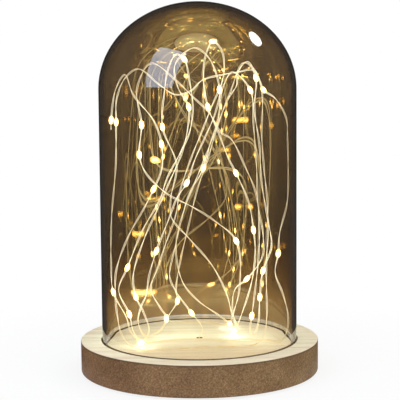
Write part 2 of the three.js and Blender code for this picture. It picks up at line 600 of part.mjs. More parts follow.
// Circuit board on the ribs, and the resistor that stands over it on its two legs
function circuit() {
  const board = block([BOARD_X - BOARD_LENGTH / 2, electronicsMiddle - BOARD_WIDTH / 2, boardBottom],
    [BOARD_X + BOARD_LENGTH / 2, electronicsMiddle + BOARD_WIDTH / 2, boardTop]);
  place('circuit_board', board, boardGreen);
  const radius = RESISTOR_DIAMETER / 2;
  const waist = RESISTOR_WAIST_DIAMETER / 2;
  const leg = RESISTOR_LEG_DIAMETER / 2;
  const end = RESISTOR_LENGTH / 2;
  const height = boardTop + FIT + radius;
  const body = revolve([
    [0, -end], [radius, -end], [radius, -end / 2], [waist, -end / 3],
    [waist, end / 3], [radius, end / 2], [radius, end], [0, end],
  ], PAD_SIDES / 2).rotateY(Math.PI / 2).translate(0, 0, height);
  const span = RESISTOR_LEG_SPAN / 2;
  const spindle = barAlongX(leg, -span - leg, span + leg, LEAD_SIDES).translate(0, 0, height);
  const legs = [-span, span].map((x) => bar(leg, boardTop + FIT, height, LEAD_SIDES).translate(x, 0, 0));
  const resistor = fuse(body, [spindle, ...legs]);
  resistor.translate(BOARD_X, RESISTOR_Y, 0);
  place('resistor', resistor, resistorTan);
}

// Two short leads, each held in its notch: from the end contacts to the switch and to the board
function leads() {
  const contactX = bayHalf - FIT - CONTACT_THICKNESS / 2 - LEAD_DIAMETER / 2;
  const contactTop = cellHeight + CONTACT_HEIGHT / 2;
  const start = contactTop + FIT + LEAD_DIAMETER / 2;
  const notchY = (bayBack + electronicsFront) / 2;
  const switchTop = floorTop + FIT + SWITCH_HEIGHT;
  const routes = {
    red_lead: [[contactX, cellY(0) - CONTACT_WIDTH / 3, start], [contactX, cellY(0), leadHeight],
      [contactX, notchY, leadHeight], [contactX - TRAY_WALL, electronicsFront + TRAY_WALL, leadHeight],
      [SWITCH_X + SWITCH_LENGTH / 3, electronicsMiddle, switchTop + LEAD_DIAMETER],
      [SWITCH_X, electronicsMiddle, switchTop + FIT + LEAD_DIAMETER / 2]],
    black_lead: [[-contactX, cellY(2) - CONTACT_WIDTH / 3, start], [-contactX, cellY(2), leadHeight],
      [-contactX, cellY(1), leadHeight], [-contactX, cellY(0), leadHeight], [-contactX, notchY, leadHeight],
      [TRAY_WALL - contactX, electronicsFront + TRAY_WALL, leadHeight],
      [BOARD_X - BOARD_LENGTH / 3, 0, boardTop + LEAD_DIAMETER],
      [BOARD_X - BOARD_LENGTH / 4, 0, boardTop + FIT + LEAD_DIAMETER / 2]],
  };
  const finishes = { red_lead: leadRed, black_lead: leadBlack };
  for (const [name, route] of Object.entries(routes)) {
    const curve = new THREE.CatmullRomCurve3(route.map((point) => new THREE.Vector3(...point)), false, 'centripetal');
    place(name, tubeAlong(curve.getPoints(LEAD_STEPS), LEAD_DIAMETER / 2, LEAD_SIDES), finishes[name]);
  }
}

function screwTop() {
  return baseBottom + FIT + SCREW_HEAD_HEIGHT + SCREW_SHANK_LENGTH;
}

// Plain pan-head screws, sunk in the flange
function traySeatScrews() {
  const head = SCREW_HEAD_DIAMETER / 2;
  const shank = SCREW_SHANK_DIAMETER / 2;
  const bottom = baseBottom;
  const seat = bottom + SCREW_HEAD_HEIGHT;
  [-screwX, screwX].forEach((x, i) => {
    const screw = revolve([[0, bottom], [head, bottom], [head, seat], [shank, seat],
      [shank, screwTop() - shank], [0, screwTop()]], SCREW_SIDES);
    place(`tray_screw_${i + 1}`, screw.translate(x, trayMiddle, 0), springSteel);
  });
}

// Chain of points along the wire's route. Where a light sits, the wire runs straight through it.
function wireChain() {
  const stops = ROUTE.map(([x, y, z]) => new THREE.Vector3(x, y, z));
  const curve = new THREE.CatmullRomCurve3(stops, false, 'centripetal');
  const spans = stops.length - 1;
  const chain = [];
  const lights = [];
  stops.forEach((stop, i) => {
    const carries = ROUTE[i][3] === LIGHT;
    if (carries) {
      const along = curve.getTangent(i / spans);
      chain.push(stop.clone().addScaledVector(along, -LIGHT_STRAIGHT / 2));
      chain.push(stop.clone().addScaledVector(along, LIGHT_STRAIGHT / 2));
      lights.push({ middle: stop, along });
    } else {
      chain.push(stop);
    }
    if (i === spans) return;
    const steps = Math.max(1, Math.floor(stop.distanceTo(stops[i + 1]) / WIRE_STEP));
    for (let k = 1; k < steps; k += 1) chain.push(curve.getPoint((i + k / steps) / spans));
  });
  return { chain, lights };
}

// String of lights: the wire as one tube, and each light as a drop with the wire's bore through it
function lightString() {
  const { chain, lights } = wireChain();
  const length = chain.reduce((sum, point, i) => sum + (i ? point.distanceTo(chain[i - 1]) : 0), 0);
  const gap = leastGap(chain, WIRE_DIAMETER, GAP_SAMPLE, GAP_SKIP);
  console.log(`light wire: ${length.toFixed(0)} mm, ${lights.length} lights, least gap to itself ${gap.toFixed(2)} mm`);
  place('light_wire', tubeAlong(chain, WIRE_DIAMETER / 2, WIRE_SIDES), copperWire);
  const bore = (WIRE_DIAMETER / 2 + FIT) / Math.cos(Math.PI / LIGHT_SIDES);
  const end = LIGHT_LENGTH / 2;
  const drop = [[bore, -end], [LIGHT_NECK_DIAMETER / 2, -end], [LIGHT_DIAMETER / 2, 0],
    [LIGHT_NECK_DIAMETER / 2, end], [bore, end], [bore, -end]];
  lights.forEach(({ middle, along }, i) => {
    const light = place(`light_${String(i + 1).padStart(2, '0')}`, revolve(drop, LIGHT_SIDES), warmDrop);
    light.position.copy(middle);
    light.quaternion.setFromUnitVectors(new THREE.Vector3(0, 0, 1), along);
  });
}

place('wooden_base', woodenBase(), wood);
place('glass_dome', glassDome(), smokedGlass);
feltPads();
place('battery_tray', batteryTray(), blackPlastic);
place('battery_cover', batteryCover(), blackPlastic);
batteryCells();
contacts();
slideSwitch();
circuit();
leads();
traySeatScrews();
lightString();

export default cloche;
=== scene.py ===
# %% [markdown]
# A lighted glass cloche, dressed in Blender.
#
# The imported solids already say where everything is. This lesson puts finer surfaces over the ones that
# show: the turned wooden base, the smoked glass dome, the twin wire with its drop lights, and the small
# parts on the underside. Every new surface is worked out with numpy on a grid of two parameters and then
# handed to a mesh in one go.

import bpy
import numpy as np
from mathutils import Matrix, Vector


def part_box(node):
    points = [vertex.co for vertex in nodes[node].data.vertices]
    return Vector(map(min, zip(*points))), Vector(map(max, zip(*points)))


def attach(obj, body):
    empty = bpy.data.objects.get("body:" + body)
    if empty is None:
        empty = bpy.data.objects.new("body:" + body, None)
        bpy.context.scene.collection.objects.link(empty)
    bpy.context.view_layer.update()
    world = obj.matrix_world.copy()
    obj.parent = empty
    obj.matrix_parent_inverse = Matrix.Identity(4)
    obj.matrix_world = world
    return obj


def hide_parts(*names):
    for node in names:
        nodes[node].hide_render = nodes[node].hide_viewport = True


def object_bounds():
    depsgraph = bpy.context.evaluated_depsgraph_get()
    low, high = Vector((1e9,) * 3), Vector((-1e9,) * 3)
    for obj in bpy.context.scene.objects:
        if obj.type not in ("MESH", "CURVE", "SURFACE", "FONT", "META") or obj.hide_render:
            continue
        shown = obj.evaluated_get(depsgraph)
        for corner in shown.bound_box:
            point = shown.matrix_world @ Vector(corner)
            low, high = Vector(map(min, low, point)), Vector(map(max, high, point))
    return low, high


MM = 0.001
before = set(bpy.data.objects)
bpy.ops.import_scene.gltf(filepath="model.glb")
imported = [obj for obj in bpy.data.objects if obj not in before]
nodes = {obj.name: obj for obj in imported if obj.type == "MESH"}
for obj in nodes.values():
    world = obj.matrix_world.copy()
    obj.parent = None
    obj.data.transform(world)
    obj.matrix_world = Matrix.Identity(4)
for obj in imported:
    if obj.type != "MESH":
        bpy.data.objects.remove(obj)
cad_low, cad_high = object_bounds()
size_mm = [round((high - low) / MM, 1) for low, high in zip(cad_low, cad_high)]
print("solids:", len(nodes), "box in mm:", size_mm)

# %% [markdown]
# The camera comes first, because every later choice is judged through it. The photograph was taken with a
# long lens from a little above the base. Its place was found by fitting the edges of the base and of the
# glass. The picture is square, so the lens follows from the focal length in pixels and the sensor width.

# %% Camera at the photograph's angle
PICTURE_SIZE = 400
SENSOR_WIDTH = 36.0
FOCAL_PIXELS = 1410.0
EYE_DISTANCE = 0.9
EYE_ELEVATION = np.radians(12.607)
PITCH_DOWN = np.radians(7.045)
YAW = np.radians(0.068)
ROLL = np.radians(-0.47)
BASE_TOP = 0.021


def camera_frame():
    """Eye, right, up and forward: the eye on a circle about the base's top, turned by yaw, pitch, roll."""
    eye = np.array([0, -np.cos(EYE_ELEVATION), np.sin(EYE_ELEVATION)]) * EYE_DISTANCE
    eye[2] += BASE_TOP
    level = np.cos(PITCH_DOWN)
    forward = np.array([level * np.sin(YAW), level * np.cos(YAW), -np.sin(PITCH_DOWN)])
    right = np.cross(forward, [0, 0, 1])
    right /= np.linalg.norm(right)
    up = np.cross(right, forward)
    rolled_right = right * np.cos(ROLL) + up * np.sin(ROLL)
    rolled_up = up * np.cos(ROLL) - right * np.sin(ROLL)
    return eye, rolled_right, rolled_up, forward


def set_up(name, data, place, axes):
    """Puts a camera or lamp into the scene at a place, with its own x, y and z along three axes."""
    thing = bpy.data.objects.new(name, data)
    bpy.context.scene.collection.objects.link(thing)
    placing = np.eye(4)
    placing[:3, :3] = np.stack(axes, -1)
    placing[:3, 3] = place
    thing.matrix_world = placing.T.tolist()
    return thing


eye, right, up, forward = camera_frame()
lens = bpy.data.cameras.new("photo_camera")
lens.sensor_fit = "HORIZONTAL"
lens.sensor_width = SENSOR_WIDTH
lens.lens = FOCAL_PIXELS * SENSOR_WIDTH / PICTURE_SIZE
lens.clip_start = 0.05
lens.clip_end = 20
bpy.context.scene.camera = set_up("photo_camera", lens, eye, (right, up, -forward))
bpy.context.scene.view_settings.view_transform = "Standard"
print("lens in mm:", round(lens.lens, 1), "eye:", np.round(eye, 3))

# %% [markdown]
# A few helpers make all the meshes. A grid of points becomes faces by joining each point with its
# neighbours along both parameters. A lathe is such a grid, with a profile of radius and height carried
# round the axis. Where the profile touches the axis its points fall together, so doubles are merged
# afterwards and the normals are worked out again.

# %% Grids of points into meshes
import bmesh

SAME_PLACE = 1e-7


def grid_faces(rows, columns, copies=1):
    """Four neighbours make a face: (i, j), (i, j+1), (i+1, j+1), (i+1, j). The columns go round."""
    i, j = np.meshgrid(np.arange(rows - 1), np.arange(columns), indexing="ij")
    j_next = (j + 1) % columns
    here, beyond = i * columns, (i + 1) * columns
    corners = np.stack([here + j, here + j_next, beyond + j_next, beyond + j], -1)
    shift = np.arange(copies)[:, None, None] * rows * columns
    return (corners.reshape(1, -1, 4) + shift).reshape(-1, 4).tolist()


def piece_from(name, points, faces, sharp_degrees=40):
    """A mesh at the origin from points and faces: doubles merged, normals outward, sharp edges kept."""
    mesh = bpy.data.meshes.new(name)
    mesh.from_pydata(points.reshape(-1, 3), [], faces)
    work = bmesh.new()
    work.from_mesh(mesh)
    bmesh.ops.remove_doubles(work, verts=work.verts, dist=SAME_PLACE)
    bmesh.ops.dissolve_degenerate(work, edges=work.edges, dist=SAME_PLACE)
    bmesh.ops.recalc_face_normals(work, faces=work.faces)
    work.to_mesh(mesh)
    work.free()
    mesh.shade_smooth()
    mesh.set_sharp_from_angle(angle=np.radians(sharp_degrees))
    piece = bpy.data.objects.new(name, mesh)
    bpy.context.scene.collection.objects.link(piece)
    open_edges = len(mesh.edges) * 2 - len(mesh.loops)
    print(name, "faces:", len(mesh.polygons), "open edges:", open_edges)
    return piece


def round_piece(name, points, sharp_degrees=40):
    """A piece from a grid of points that goes round, or from several such grids in one array."""
    rows, sides = points.shape[-3:-1]
    copies = points.size // (rows * sides * 3)
    return piece_from(name, points, grid_faces(rows, sides, copies), sharp_degrees)


def lathe_points(profile, sides):
    """Each profile point (radius, height) goes round the axis: x = r cos t, y = r sin t, z = h."""
    turn = np.linspace(0, 2 * np.pi, sides, endpoint=False)
    radius = profile[:, 0][:, None]
    height = np.broadcast_to(profile[:, 1][:, None], (len(profile), sides))
    return np.stack([radius * np.cos(turn), radius * np.sin(turn), height], -1)


def arc(middle, radii, start, end, steps):
    """Points of an ellipse arc: middle plus radii times (cos a, sin a), a between two angles in degrees."""
    angle = np.radians(np.linspace(start, end, steps + 1))
    return np.array(middle) + np.array(radii) * np.stack([np.cos(angle), np.sin(angle)], -1)


def quarter(middle, radius, start, steps):
    """A quarter of a circle, from an angle in degrees on."""
    return arc(middle, (radius, radius), start, start + 90, steps)


def line(start, end, steps):
    """Evenly spaced points of a straight line, less the last, so that the next stretch can start there."""
    share = np.arange(steps)[:, None] / steps
    return np.array(start) + (np.array(end) - np.array(start)) * share


# %% [markdown]
# Materials share a few steps: make a node tree, find its shader, read Object coordinates through a
# Mapping node, and turn a noise into a colour. These helpers keep the recipes below short enough to read.

# %% Materials and the inputs of nodes
def new_finish(name):
    """An empty material with its node tree and its Principled shader."""
    finish = bpy.data.materials.new(name)
    finish.use_nodes = True
    print("finish:", name)
    return finish, finish.node_tree, finish.node_tree.nodes["Principled BSDF"]


def feed(socket, value):
    """Links another node's socket into this one, or enters a plain value. A colour gets its alpha."""
    if isinstance(value, bpy.types.NodeSocket):
        socket.id_data.links.new(value, socket)
    else:
        socket.default_value = (*value, 1.0) if socket.type == "RGBA" else value


def set_inputs(node, **values):
    """Feeds inputs by name. Names that aren't inputs are the node's settings."""
    for key, value in values.items():
        matches = (s for s in node.inputs if s.enabled and s.name.replace(" ", "_").lower() == key)
        socket = next(matches, None)
        if socket is None:
            setattr(node, key, value)
        else:
            feed(socket, value)
    return node


def add_node(tree, kind, *first, **values):
    """A new node of one kind. Its first inputs are fed in order, and others by name."""
    node = set_inputs(tree.nodes.new(kind), **values)
    for socket, value in zip(node.inputs, first):
        feed(socket, value)
    return node


# %% Places, noises and colours
def own_place(tree):
    """X, Y and Z of the Object coordinates."""
    place = add_node(tree, "ShaderNodeTexCoord")
    return add_node(tree, "ShaderNodeSeparateXYZ", vector=place.outputs["Object"]).outputs


def object_coordinates(tree, stretch):
    """Object coordinates, stretched by a Mapping node: by one number, or by one for each axis."""
    place = add_node(tree, "ShaderNodeTexCoord").outputs["Object"]
    scale = tuple(np.broadcast_to(stretch, 3).astype(float))
    return add_node(tree, "ShaderNodeMapping", vector=place, scale=scale).outputs["Vector"]


def noise(tree, stretch, scale=1.0, detail=4.0, roughness=0.5, distortion=0.0):
    """A noise over stretched Object coordinates, as a number from 0 to 1."""
    return add_node(tree, "ShaderNodeTexNoise", vector=object_coordinates(tree, stretch), scale=scale,
                    detail=detail, roughness=roughness, distortion=distortion).outputs["Fac"]


def ramp(tree, number, stops):
    """A number into a colour: stops are (place, colour) pairs."""
    node = add_node(tree, "ShaderNodeValToRGB", number)
    edges = node.color_ramp.elements
    while len(edges) < len(stops):
        edges.new(0.5)
    for edge, (at, colour) in zip(edges, stops):
        edge.position = at
        edge.color = (*colour, 1.0)
    return node.outputs["Color"]


def remap(tree, number, low, high, new_low=0.0, new_high=1.0):
    """A number from one range into another, clamped."""
    return add_node(tree, "ShaderNodeMapRange", value=number, from_min=low, from_max=high,
                    to_min=new_low, to_max=new_high).outputs["Result"]


# a Mix node has sockets for several kinds of data: these are its share, its two colours and their result
COLOUR_SOCKETS, COLOUR_RESULT = (0, 6, 7), 2


def blend_colours(tree, share, first, second, mode="MIX"):
    """Two colours mixed by a share; each is a socket or a plain colour."""
    node = add_node(tree, "ShaderNodeMix", data_type="RGBA", blend_type=mode)
    for number, value in zip(COLOUR_SOCKETS, (share, first, second)):
        feed(node.inputs[number], value)
    return node.outputs[COLOUR_RESULT]


def srgb(red, green, blue):
    """A colour as the eye names it, 0 to 255, into the linear numbers that light adds up in."""
    value = np.array([red, green, blue]) / 255
    linear = np.where(value <= 0.04045, value / 12.92, ((value + 0.055) / 1.055) ** 2.4)
    return tuple(float(x) for x in linear)


NOISE_LOW, NOISE_HIGH = 0.3, 0.7


def two_tone(tree, grain, dark, light):
    """Two shades over the range that a noise mostly keeps to."""
    return ramp(tree, grain, [(NOISE_LOW, dark), (NOISE_HIGH, light)])


def vary_roughness(tree, shader, grain, low, high):
    """A roughness that follows a noise between two values."""
    set_inputs(shader, roughness=remap(tree, grain, NOISE_LOW, NOISE_HIGH, low, high))


def bump(tree, shader, height, strength, distance):
    """A height into the shader's normal."""
    node = add_node(tree, "ShaderNodeBump", height=height, strength=strength, distance=distance)
    set_inputs(shader, normal=node.outputs["Normal"])


# %% Sums, shaders and rays
def calculate(tree, operation, *numbers):
    """One step of arithmetic on one or two numbers."""
    return add_node(tree, "ShaderNodeMath", *numbers, operation=operation).outputs["Value"]


def mix_shaders(tree, share, first, second):
    """The first shader, and by a share the second."""
    return add_node(tree, "ShaderNodeMixShader", share, first, second).outputs["Shader"]


def ray_facts(tree):
    """What the shader can know of the ray that met it."""
    return add_node(tree, "ShaderNodeLightPath").outputs


def show(tree, shader):
    """The shader that a material shows in the end."""
    feed(tree.nodes["Material Output"].inputs["Surface"], shader)


def let_light_through(tree, shader, tint=(1.0, 1.0, 1.0)):
    """Shadow rays pass with a tint, as through coloured air. All others meet the shader."""
    air = add_node(tree, "ShaderNodeBsdfTransparent", color=tint).outputs["BSDF"]
    show(tree, mix_shaders(tree, ray_facts(tree)["Is Shadow Ray"], shader, air))


print("helpers ready")

# %% [markdown]
# The string of lights starts with its route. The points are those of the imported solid, in millimetres,
# and the ones that end in LIGHT carry a drop. A centripetal Catmull-Rom curve passes through all of them
# and never loops at a sharp turn, which suits a springy wire.

# %% Route of the light wire
LIGHT = True
ROUTE_MM = [
    # out of the board, through the hole, up the back to the first crown
    (0, 0, 8), (0, 0, 15), (0, 0, 21.5), (2, 5, 26), (-5, 10, 35, LIGHT), (-15, 16, 48), (-19, 20, 57),
    (-15, 25, 77), (-11, 28, 94), (-6, 30, 109), (3.5, 30, 126, LIGHT), (8, 29, 142), (13, 27, 156),
    (16, 25, 177), (22.5, 24, 188), (34, 22, 176.5, LIGHT),
    # down the right
    (36, 22, 154), (38, 24, 128), (39, 24, 102), (42, 22, 84), (41, 15, 70), (31, 17, 55.5, LIGHT),
    (23.5, 17.5, 49), (21.5, 18, 37), (23, 18.5, 27), (25, 15, 23), (24, 11.5, 27),
    # up across the middle to the left
    (21, 11, 34), (18, 11, 46), (9, 9, 65), (-5.5, 7, 83), (-17, 6, 97), (-17.5, 5, 109),
    (-13.5, 3, 131), (-22, 0, 155, LIGHT), (-20.5, -1, 177), (-18, -2, 191), (-13, -2, 200),
    # over the crown and down to the left
    (-8, 0, 197, LIGHT), (-5, 2, 184), (-3, 3, 167), (-5, 1, 152), (-11, -2, 139), (-19.5, -4, 123),
    (-24, -5, 110), (-35, -7, 91), (-44.5, -9, 68, LIGHT), (-50, -10, 54), (-43.5, -12, 39, LIGHT),
    (-41, -15, 29), (-36, -21, 23.5, LIGHT),
    # up the front of the middle
    (-31, -22, 30), (-34.5, -19, 42), (-39, -17, 51, LIGHT), (-40.5, -16, 64), (-33.5, -14, 87),
    (-25, -13, 105.5), (-19, -12, 119), (-9.5, -11, 141), (-6, -10, 156), (-5.5, -9, 168, LIGHT),
    (-12, -9, 180), (-13.5, -10, 194), (-2, -10, 204), (7, -11, 198), (13.5, -13, 178.5, LIGHT),
    # down again to the left
    (11, -15, 165), (5, -17, 151), (-2, -19, 136), (-7, -20, 122, LIGHT), (-13, -21, 113),
    (-18.5, -21, 99), (-26, -20, 80, LIGHT), (-30.5, -18, 65), (-33, -14, 51), (-36, -11, 44),
    (-38.5, -6, 33), (-34.5, -2, 23),
    # up through the middle to the highest crown
    (-26, 3, 24.5), (-21, 5, 32.5, LIGHT), (-25.5, 7, 40), (-31, 9, 51), (-26.5, 11, 64), (-21, 13, 80),
    (-14.5, 14, 98), (-12, 14, 112), (-4, 14, 135), (3, 13, 152), (9, 12, 167), (15.5, 11, 182),
    (17, 10.5, 192), (15.5, 10, 202), (10, 9, 208, LIGHT),
    # down to the right
    (5, 7, 198), (4, 5.5, 182), (6.5, 4, 167, LIGHT), (13, 4, 151), (19, 6, 135), (24, 7, 125, LIGHT),
    (32, 8, 106), (35, 8, 88.5, LIGHT), (36, 8, 74), (34, 7, 57), (29.5, 5, 42), (22, 3, 24, LIGHT),
    # up the front, over the long diagonal to the left
    (19, -4, 27), (21, -8, 37), (25, -14, 55), (23, -21, 86, LIGHT), (10, -25, 99), (-4, -28, 108.5),
    (-19, -31, 117), (-31.5, -31, 130), (-35, -30, 140.5, LIGHT), (-33.5, -29, 158.5, LIGHT),
    (-36, -27, 180), (-27.5, -26, 195), (-12, -25, 184),
    # down across the front to the right
    (-2.5, -24, 174.5), (7, -23, 165), (14, -22, 153), (20, -21, 149), (28.5, -18, 132),
    (35.5, -15, 114), (37.5, -12, 94), (37, -9, 72), (35, -7, 52), (33, -6, 36, LIGHT), (32, -5, 26),
    # up the right
    (35, -1, 23.5), (37.5, 1, 30), (38.5, 1, 46.5, LIGHT), (40.5, 1, 63.5, LIGHT), (46, 1, 79),
    (44, 2, 95), (40, 2, 119),
    (38.5, 2, 144), (35.5, 2, 166), (36.5, 2, 185, LIGHT), (31.5, 5, 195), (26, 12, 189), (25, 24, 179),
    # down the back
    (19.5, 32, 170), (12, 36, 151), (5, 38, 133), (-3, 38.5, 114), (-9, 38, 99), (-15, 36, 74),
    (-11, 34, 51), (-1, 31, 39), (12.5, 27, 30), (20, 27, 24, LIGHT), (17, 36, 22), (4, 43, 22),
    (-12, 43, 22), (-21, 39, 25),
    # up the back
    (-14.5, 40, 37, LIGHT), (-15.5, 41, 44), (-12, 43, 65), (-7, 45, 85), (-1, 46, 109), (7, 45, 132),
    (13, 43, 152), (21, 39, 173), (30, 31, 194), (38, 23, 188), (42, 14, 177, LIGHT),
    # down the right wall
    (49, 9, 172), (56, 4, 160), (56.8, 2, 147), (56.8, 0, 113), (55.5, -2, 105), (50.5, -6, 88),
    (49.5, -8, 76, LIGHT), (47.5, -9, 64), (52, -10, 51), (55.5, -9, 36), (54.5, -9.5, 27), (50, -9, 22),
    (44, -7.5, 22),
    # over the plateau and up the left wall
    (37, -9.5, 22), (28, -12, 22), (14, -12, 22), (0, -8, 22), (-14, -9, 22), (-35, -11, 22), (-43, -6, 26),
    (-46, -3, 35), (-54.5, -1, 51, LIGHT),
    (-55.8, 0, 70), (-55.2, 1, 97), (-52, 3, 131), (-51.5, 5, 158, LIGHT), (-51, 7, 173), (-45, 8, 186),
    (-37, 9, 191), (-24, 8, 181),
    # a low arch across to the right, and down there
    (-14, 3, 175), (-4, -3.5, 177.5), (3, -4, 184), (16.5, -4, 187.5), (26, -3, 189), (34, -4.5, 190),
    (39, -6, 182), (40, -7, 170), (39.5, -7, 150), (41, -6.5, 128), (43, -6, 108), (43, -8, 88),
    (42, -8.5, 70), (42, -10, 52), (42, -12, 37), (39.5, -16.5, 25), (32, -22, 22), (10, -26, 22),
    (-18, -30, 22), (-38, -28.5, 22), (-47, -23, 28),
    # up the front left to the end of the string
    (-50, -19.5, 39), (-51, -20, 54), (-50, -21, 69), (-42.5, -24, 90), (-32.5, -27, 108),
    (-27, -25, 119, LIGHT), (-22, -23, 131), (-22, -21, 146, LIGHT), (-26.5, -19, 160), (-39, -16, 176),
    (-44, -13, 188), (-50, -10, 179), (-53.5, -6, 160, LIGHT), (-53.8, -5, 154),
]
route = np.array([point[:3] for point in ROUTE_MM]) * MM
carries_light = np.array([len(point) == 4 for point in ROUTE_MM])


def centripetal_curve(stops, steps):
    """Between two stops a cubic with the slopes of a curve whose pace is the square root of each chord."""
    ends = np.vstack([2 * stops[0] - stops[1], stops, 2 * stops[-1] - stops[-2]])
    before, start, end, after = ends[:-3], ends[1:-2], ends[2:-1], ends[3:]
    pace = np.sqrt(np.linalg.norm(np.diff(ends, axis=0), axis=1))[:, None]
    first, middle, last = pace[:-2], pace[1:-1], pace[2:]
    pace_in, pace_between, pace_out = (start - before) / first, (end - start) / middle, (after - end) / last
    slope_in = (pace_in - (end - before) / (first + middle) + pace_between) * middle
    slope_out = (pace_between - (after - start) / (middle + last) + pace_out) * middle
    t = (np.arange(steps) / steps)[None, :, None]
    start, end, slope_in, slope_out = (a[:, None, :] for a in (start, end, slope_in, slope_out))
    squared = -3 * start + 3 * end - 2 * slope_in - slope_out
    cubed = 2 * start - 2 * end + slope_in + slope_out
    inner = start + slope_in * t + squared * t**2 + cubed * t**3
    return np.vstack([inner.reshape(-1, 3), stops[-1:]]), slope_in[:, 0]


STEPS_PER_STOP = 12
wire_path, stop_slopes = centripetal_curve(route, STEPS_PER_STOP)
wire_length = np.linalg.norm(np.diff(wire_path, axis=0), axis=1).sum()
print("wire points:", len(wire_path), "length in mm:", round(wire_length / MM))
print("lights:", carries_light.sum())

# %% [markdown]
# The wire of such a string is a pair of fine enamelled strands that lie side by side and turn slowly
# about each other. A curve with a round bevel would give one fat tube, so each strand is its own tube: a
# ring carried along the path. The ring needs two directions square to the path that never flip. They come
# from one fixed pair, turned the shortest way from a pole to the heading. That only fails opposite the
# pole, so the pole is picked where no part of the wire ever heads the other way.

# %% Twin strands along the route
STRAND_RADIUS = 0.17 * MM
STRAND_APART = 0.36 * MM
TWIST_PITCH = 45 * MM
STRAND_SIDES = 6
POLE_CHOICES = 600
ANY_DIRECTION = (0.31, 0.87, 0.38)


def unit(vectors):
    """Each vector over its own length."""
    return vectors / np.linalg.norm(vectors, axis=-1, keepdims=True)


def best_pole(heading):
    """Of points spread evenly on a ball, the one whose opposite is farthest from every heading."""
    count = np.arange(POLE_CHOICES) + 0.5
    height = 1 - 2 * count / POLE_CHOICES
    turn = np.pi * (1 + np.sqrt(5)) * count
    flat = np.sqrt(1 - height**2)
    choices = np.stack([flat * np.cos(turn), flat * np.sin(turn), height], -1)
    return choices[np.argmin((choices @ -heading.T).max(axis=1))]


def square_directions(heading, pole):
    """A direction a square to the pole, turned with it: a + v x a + v x (v x a) / (1 + c)."""
    spare = unit(np.cross(pole, ANY_DIRECTION))
    turning = np.cross(pole, heading)
    cosine = (heading @ pole)[:, None]
    across = spare + np.cross(turning, spare) + np.cross(turning, np.cross(turning, spare)) / (1 + cosine)
    return across, np.cross(heading, across)


def ring_offsets(across, third, sides):
    """A unit ring at every point of a path: across cos t + third sin t."""
    turn = np.linspace(0, 2 * np.pi, sides, endpoint=False)[None, :, None]
    return across[:, None, :] * np.cos(turn) + third[:, None, :] * np.sin(turn)


heading = unit(np.gradient(wire_path, axis=0))
pole = best_pole(heading)
across, third = square_directions(heading, pole)
travelled = np.concatenate([[0], np.cumsum(np.linalg.norm(np.diff(wire_path, axis=0), axis=1))])
phase = (2 * np.pi * travelled / TWIST_PITCH)[:, None]
apart = STRAND_APART * (across * np.cos(phase) + third * np.sin(phase))
ring = STRAND_RADIUS * ring_offsets(across, third, STRAND_SIDES)
strands = np.stack([wire_path + apart, wire_path - apart])[:, :, None, :] + ring[None]
rows = len(wire_path)
first_ring = np.arange(STRAND_SIDES)
last_ring = first_ring + (rows - 1) * STRAND_SIDES
second_strand = rows * STRAND_SIDES
strand_faces = grid_faces(rows, STRAND_SIDES, copies=2)
for start in (0, second_strand):
    strand_faces += [(first_ring[::-1] + start).tolist(), (last_ring + start).tolist()]
light_wire = piece_from("light_wire_strands", strands, strand_faces, sharp_degrees=80)
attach(light_wire, "base")
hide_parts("light_wire")
clearance = np.degrees(np.arccos((heading @ -pole).max()))
print("pole clears the headings by degrees:", round(float(clearance), 1))

# %% [markdown]
# Each light is a chip on the strands inside a drop of clear resin. The drop is an egg of revolution about
# the wire, closed at both ends. All drops are one array, and so are the glowing chips inside them. A chip
# throws no shadow, because a small lamp sits in its middle and does the lighting.

# %% Drops and chips on the wire
DROP_LENGTH = 5.0 * MM
DROP_RADIUS = 1.5 * MM
CHIP_LENGTH = 2.4 * MM
CHIP_RADIUS = 0.8 * MM
light_middles = route[carries_light]
light_headings = unit(stop_slopes[carries_light[:-1]])
light_across, light_third = square_directions(light_headings, best_pole(light_headings))


def hide_from(thing, *rays):
    """Kinds of ray that this object lets by as if it weren't there."""
    for ray in rays:
        setattr(thing, f"visible_{ray}", False)


def eggs(name, length, radius, rows, sides, fullness):
    """One piece with an egg at each light: along = -cos(a) length / 2, radius = sin(a) to a power."""
    angle = np.linspace(0, np.pi, rows)
    along = -np.cos(angle) * length / 2
    width = radius * np.sin(angle) ** fullness
    width[[0, -1]] = 0
    ring = ring_offsets(light_across, light_third, sides)
    axis_points = light_middles[:, None, None] + light_headings[:, None, None] * along[None, :, None, None]
    return round_piece(name, axis_points + ring[:, None] * width[None, :, None, None], sharp_degrees=80)


drops = eggs("resin_drops", DROP_LENGTH, DROP_RADIUS, rows=11, sides=14, fullness=0.75)
chips = eggs("light_chips", CHIP_LENGTH, CHIP_RADIUS, rows=7, sides=8, fullness=0.7)
drop_nodes = [f"light_{number:02d}" for number in range(1, carries_light.sum() + 1)]
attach(drops, "base")
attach(chips, "base")
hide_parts(*drop_nodes)
hide_from(chips, "shadow")

# %% [markdown]
# The dome is blown glass of an even wall: a straight cylinder under a crown that is half an ellipse, with
# a fire-rounded rim. It could be a sphere cut in half and stretched, but a lathe of the profile gives the
# real wall, outside and inside, in one closed surface. That wall matters: where the eye looks along it,
# light runs on inside the glass, and so the outline is dark.

# %% Smoked glass dome
GLASS_RADIUS = 61.5 * MM
GLASS_WALL = 2.8 * MM
GLASS_RIM = 17.3 * MM
SPRING_LINE = 178.5 * MM
CROWN_HEIGHT = 54 * MM
DOME_SIDES = 160
CROWN_STEPS = 36
WALL_STEPS = 12
RIM_STEPS = 8


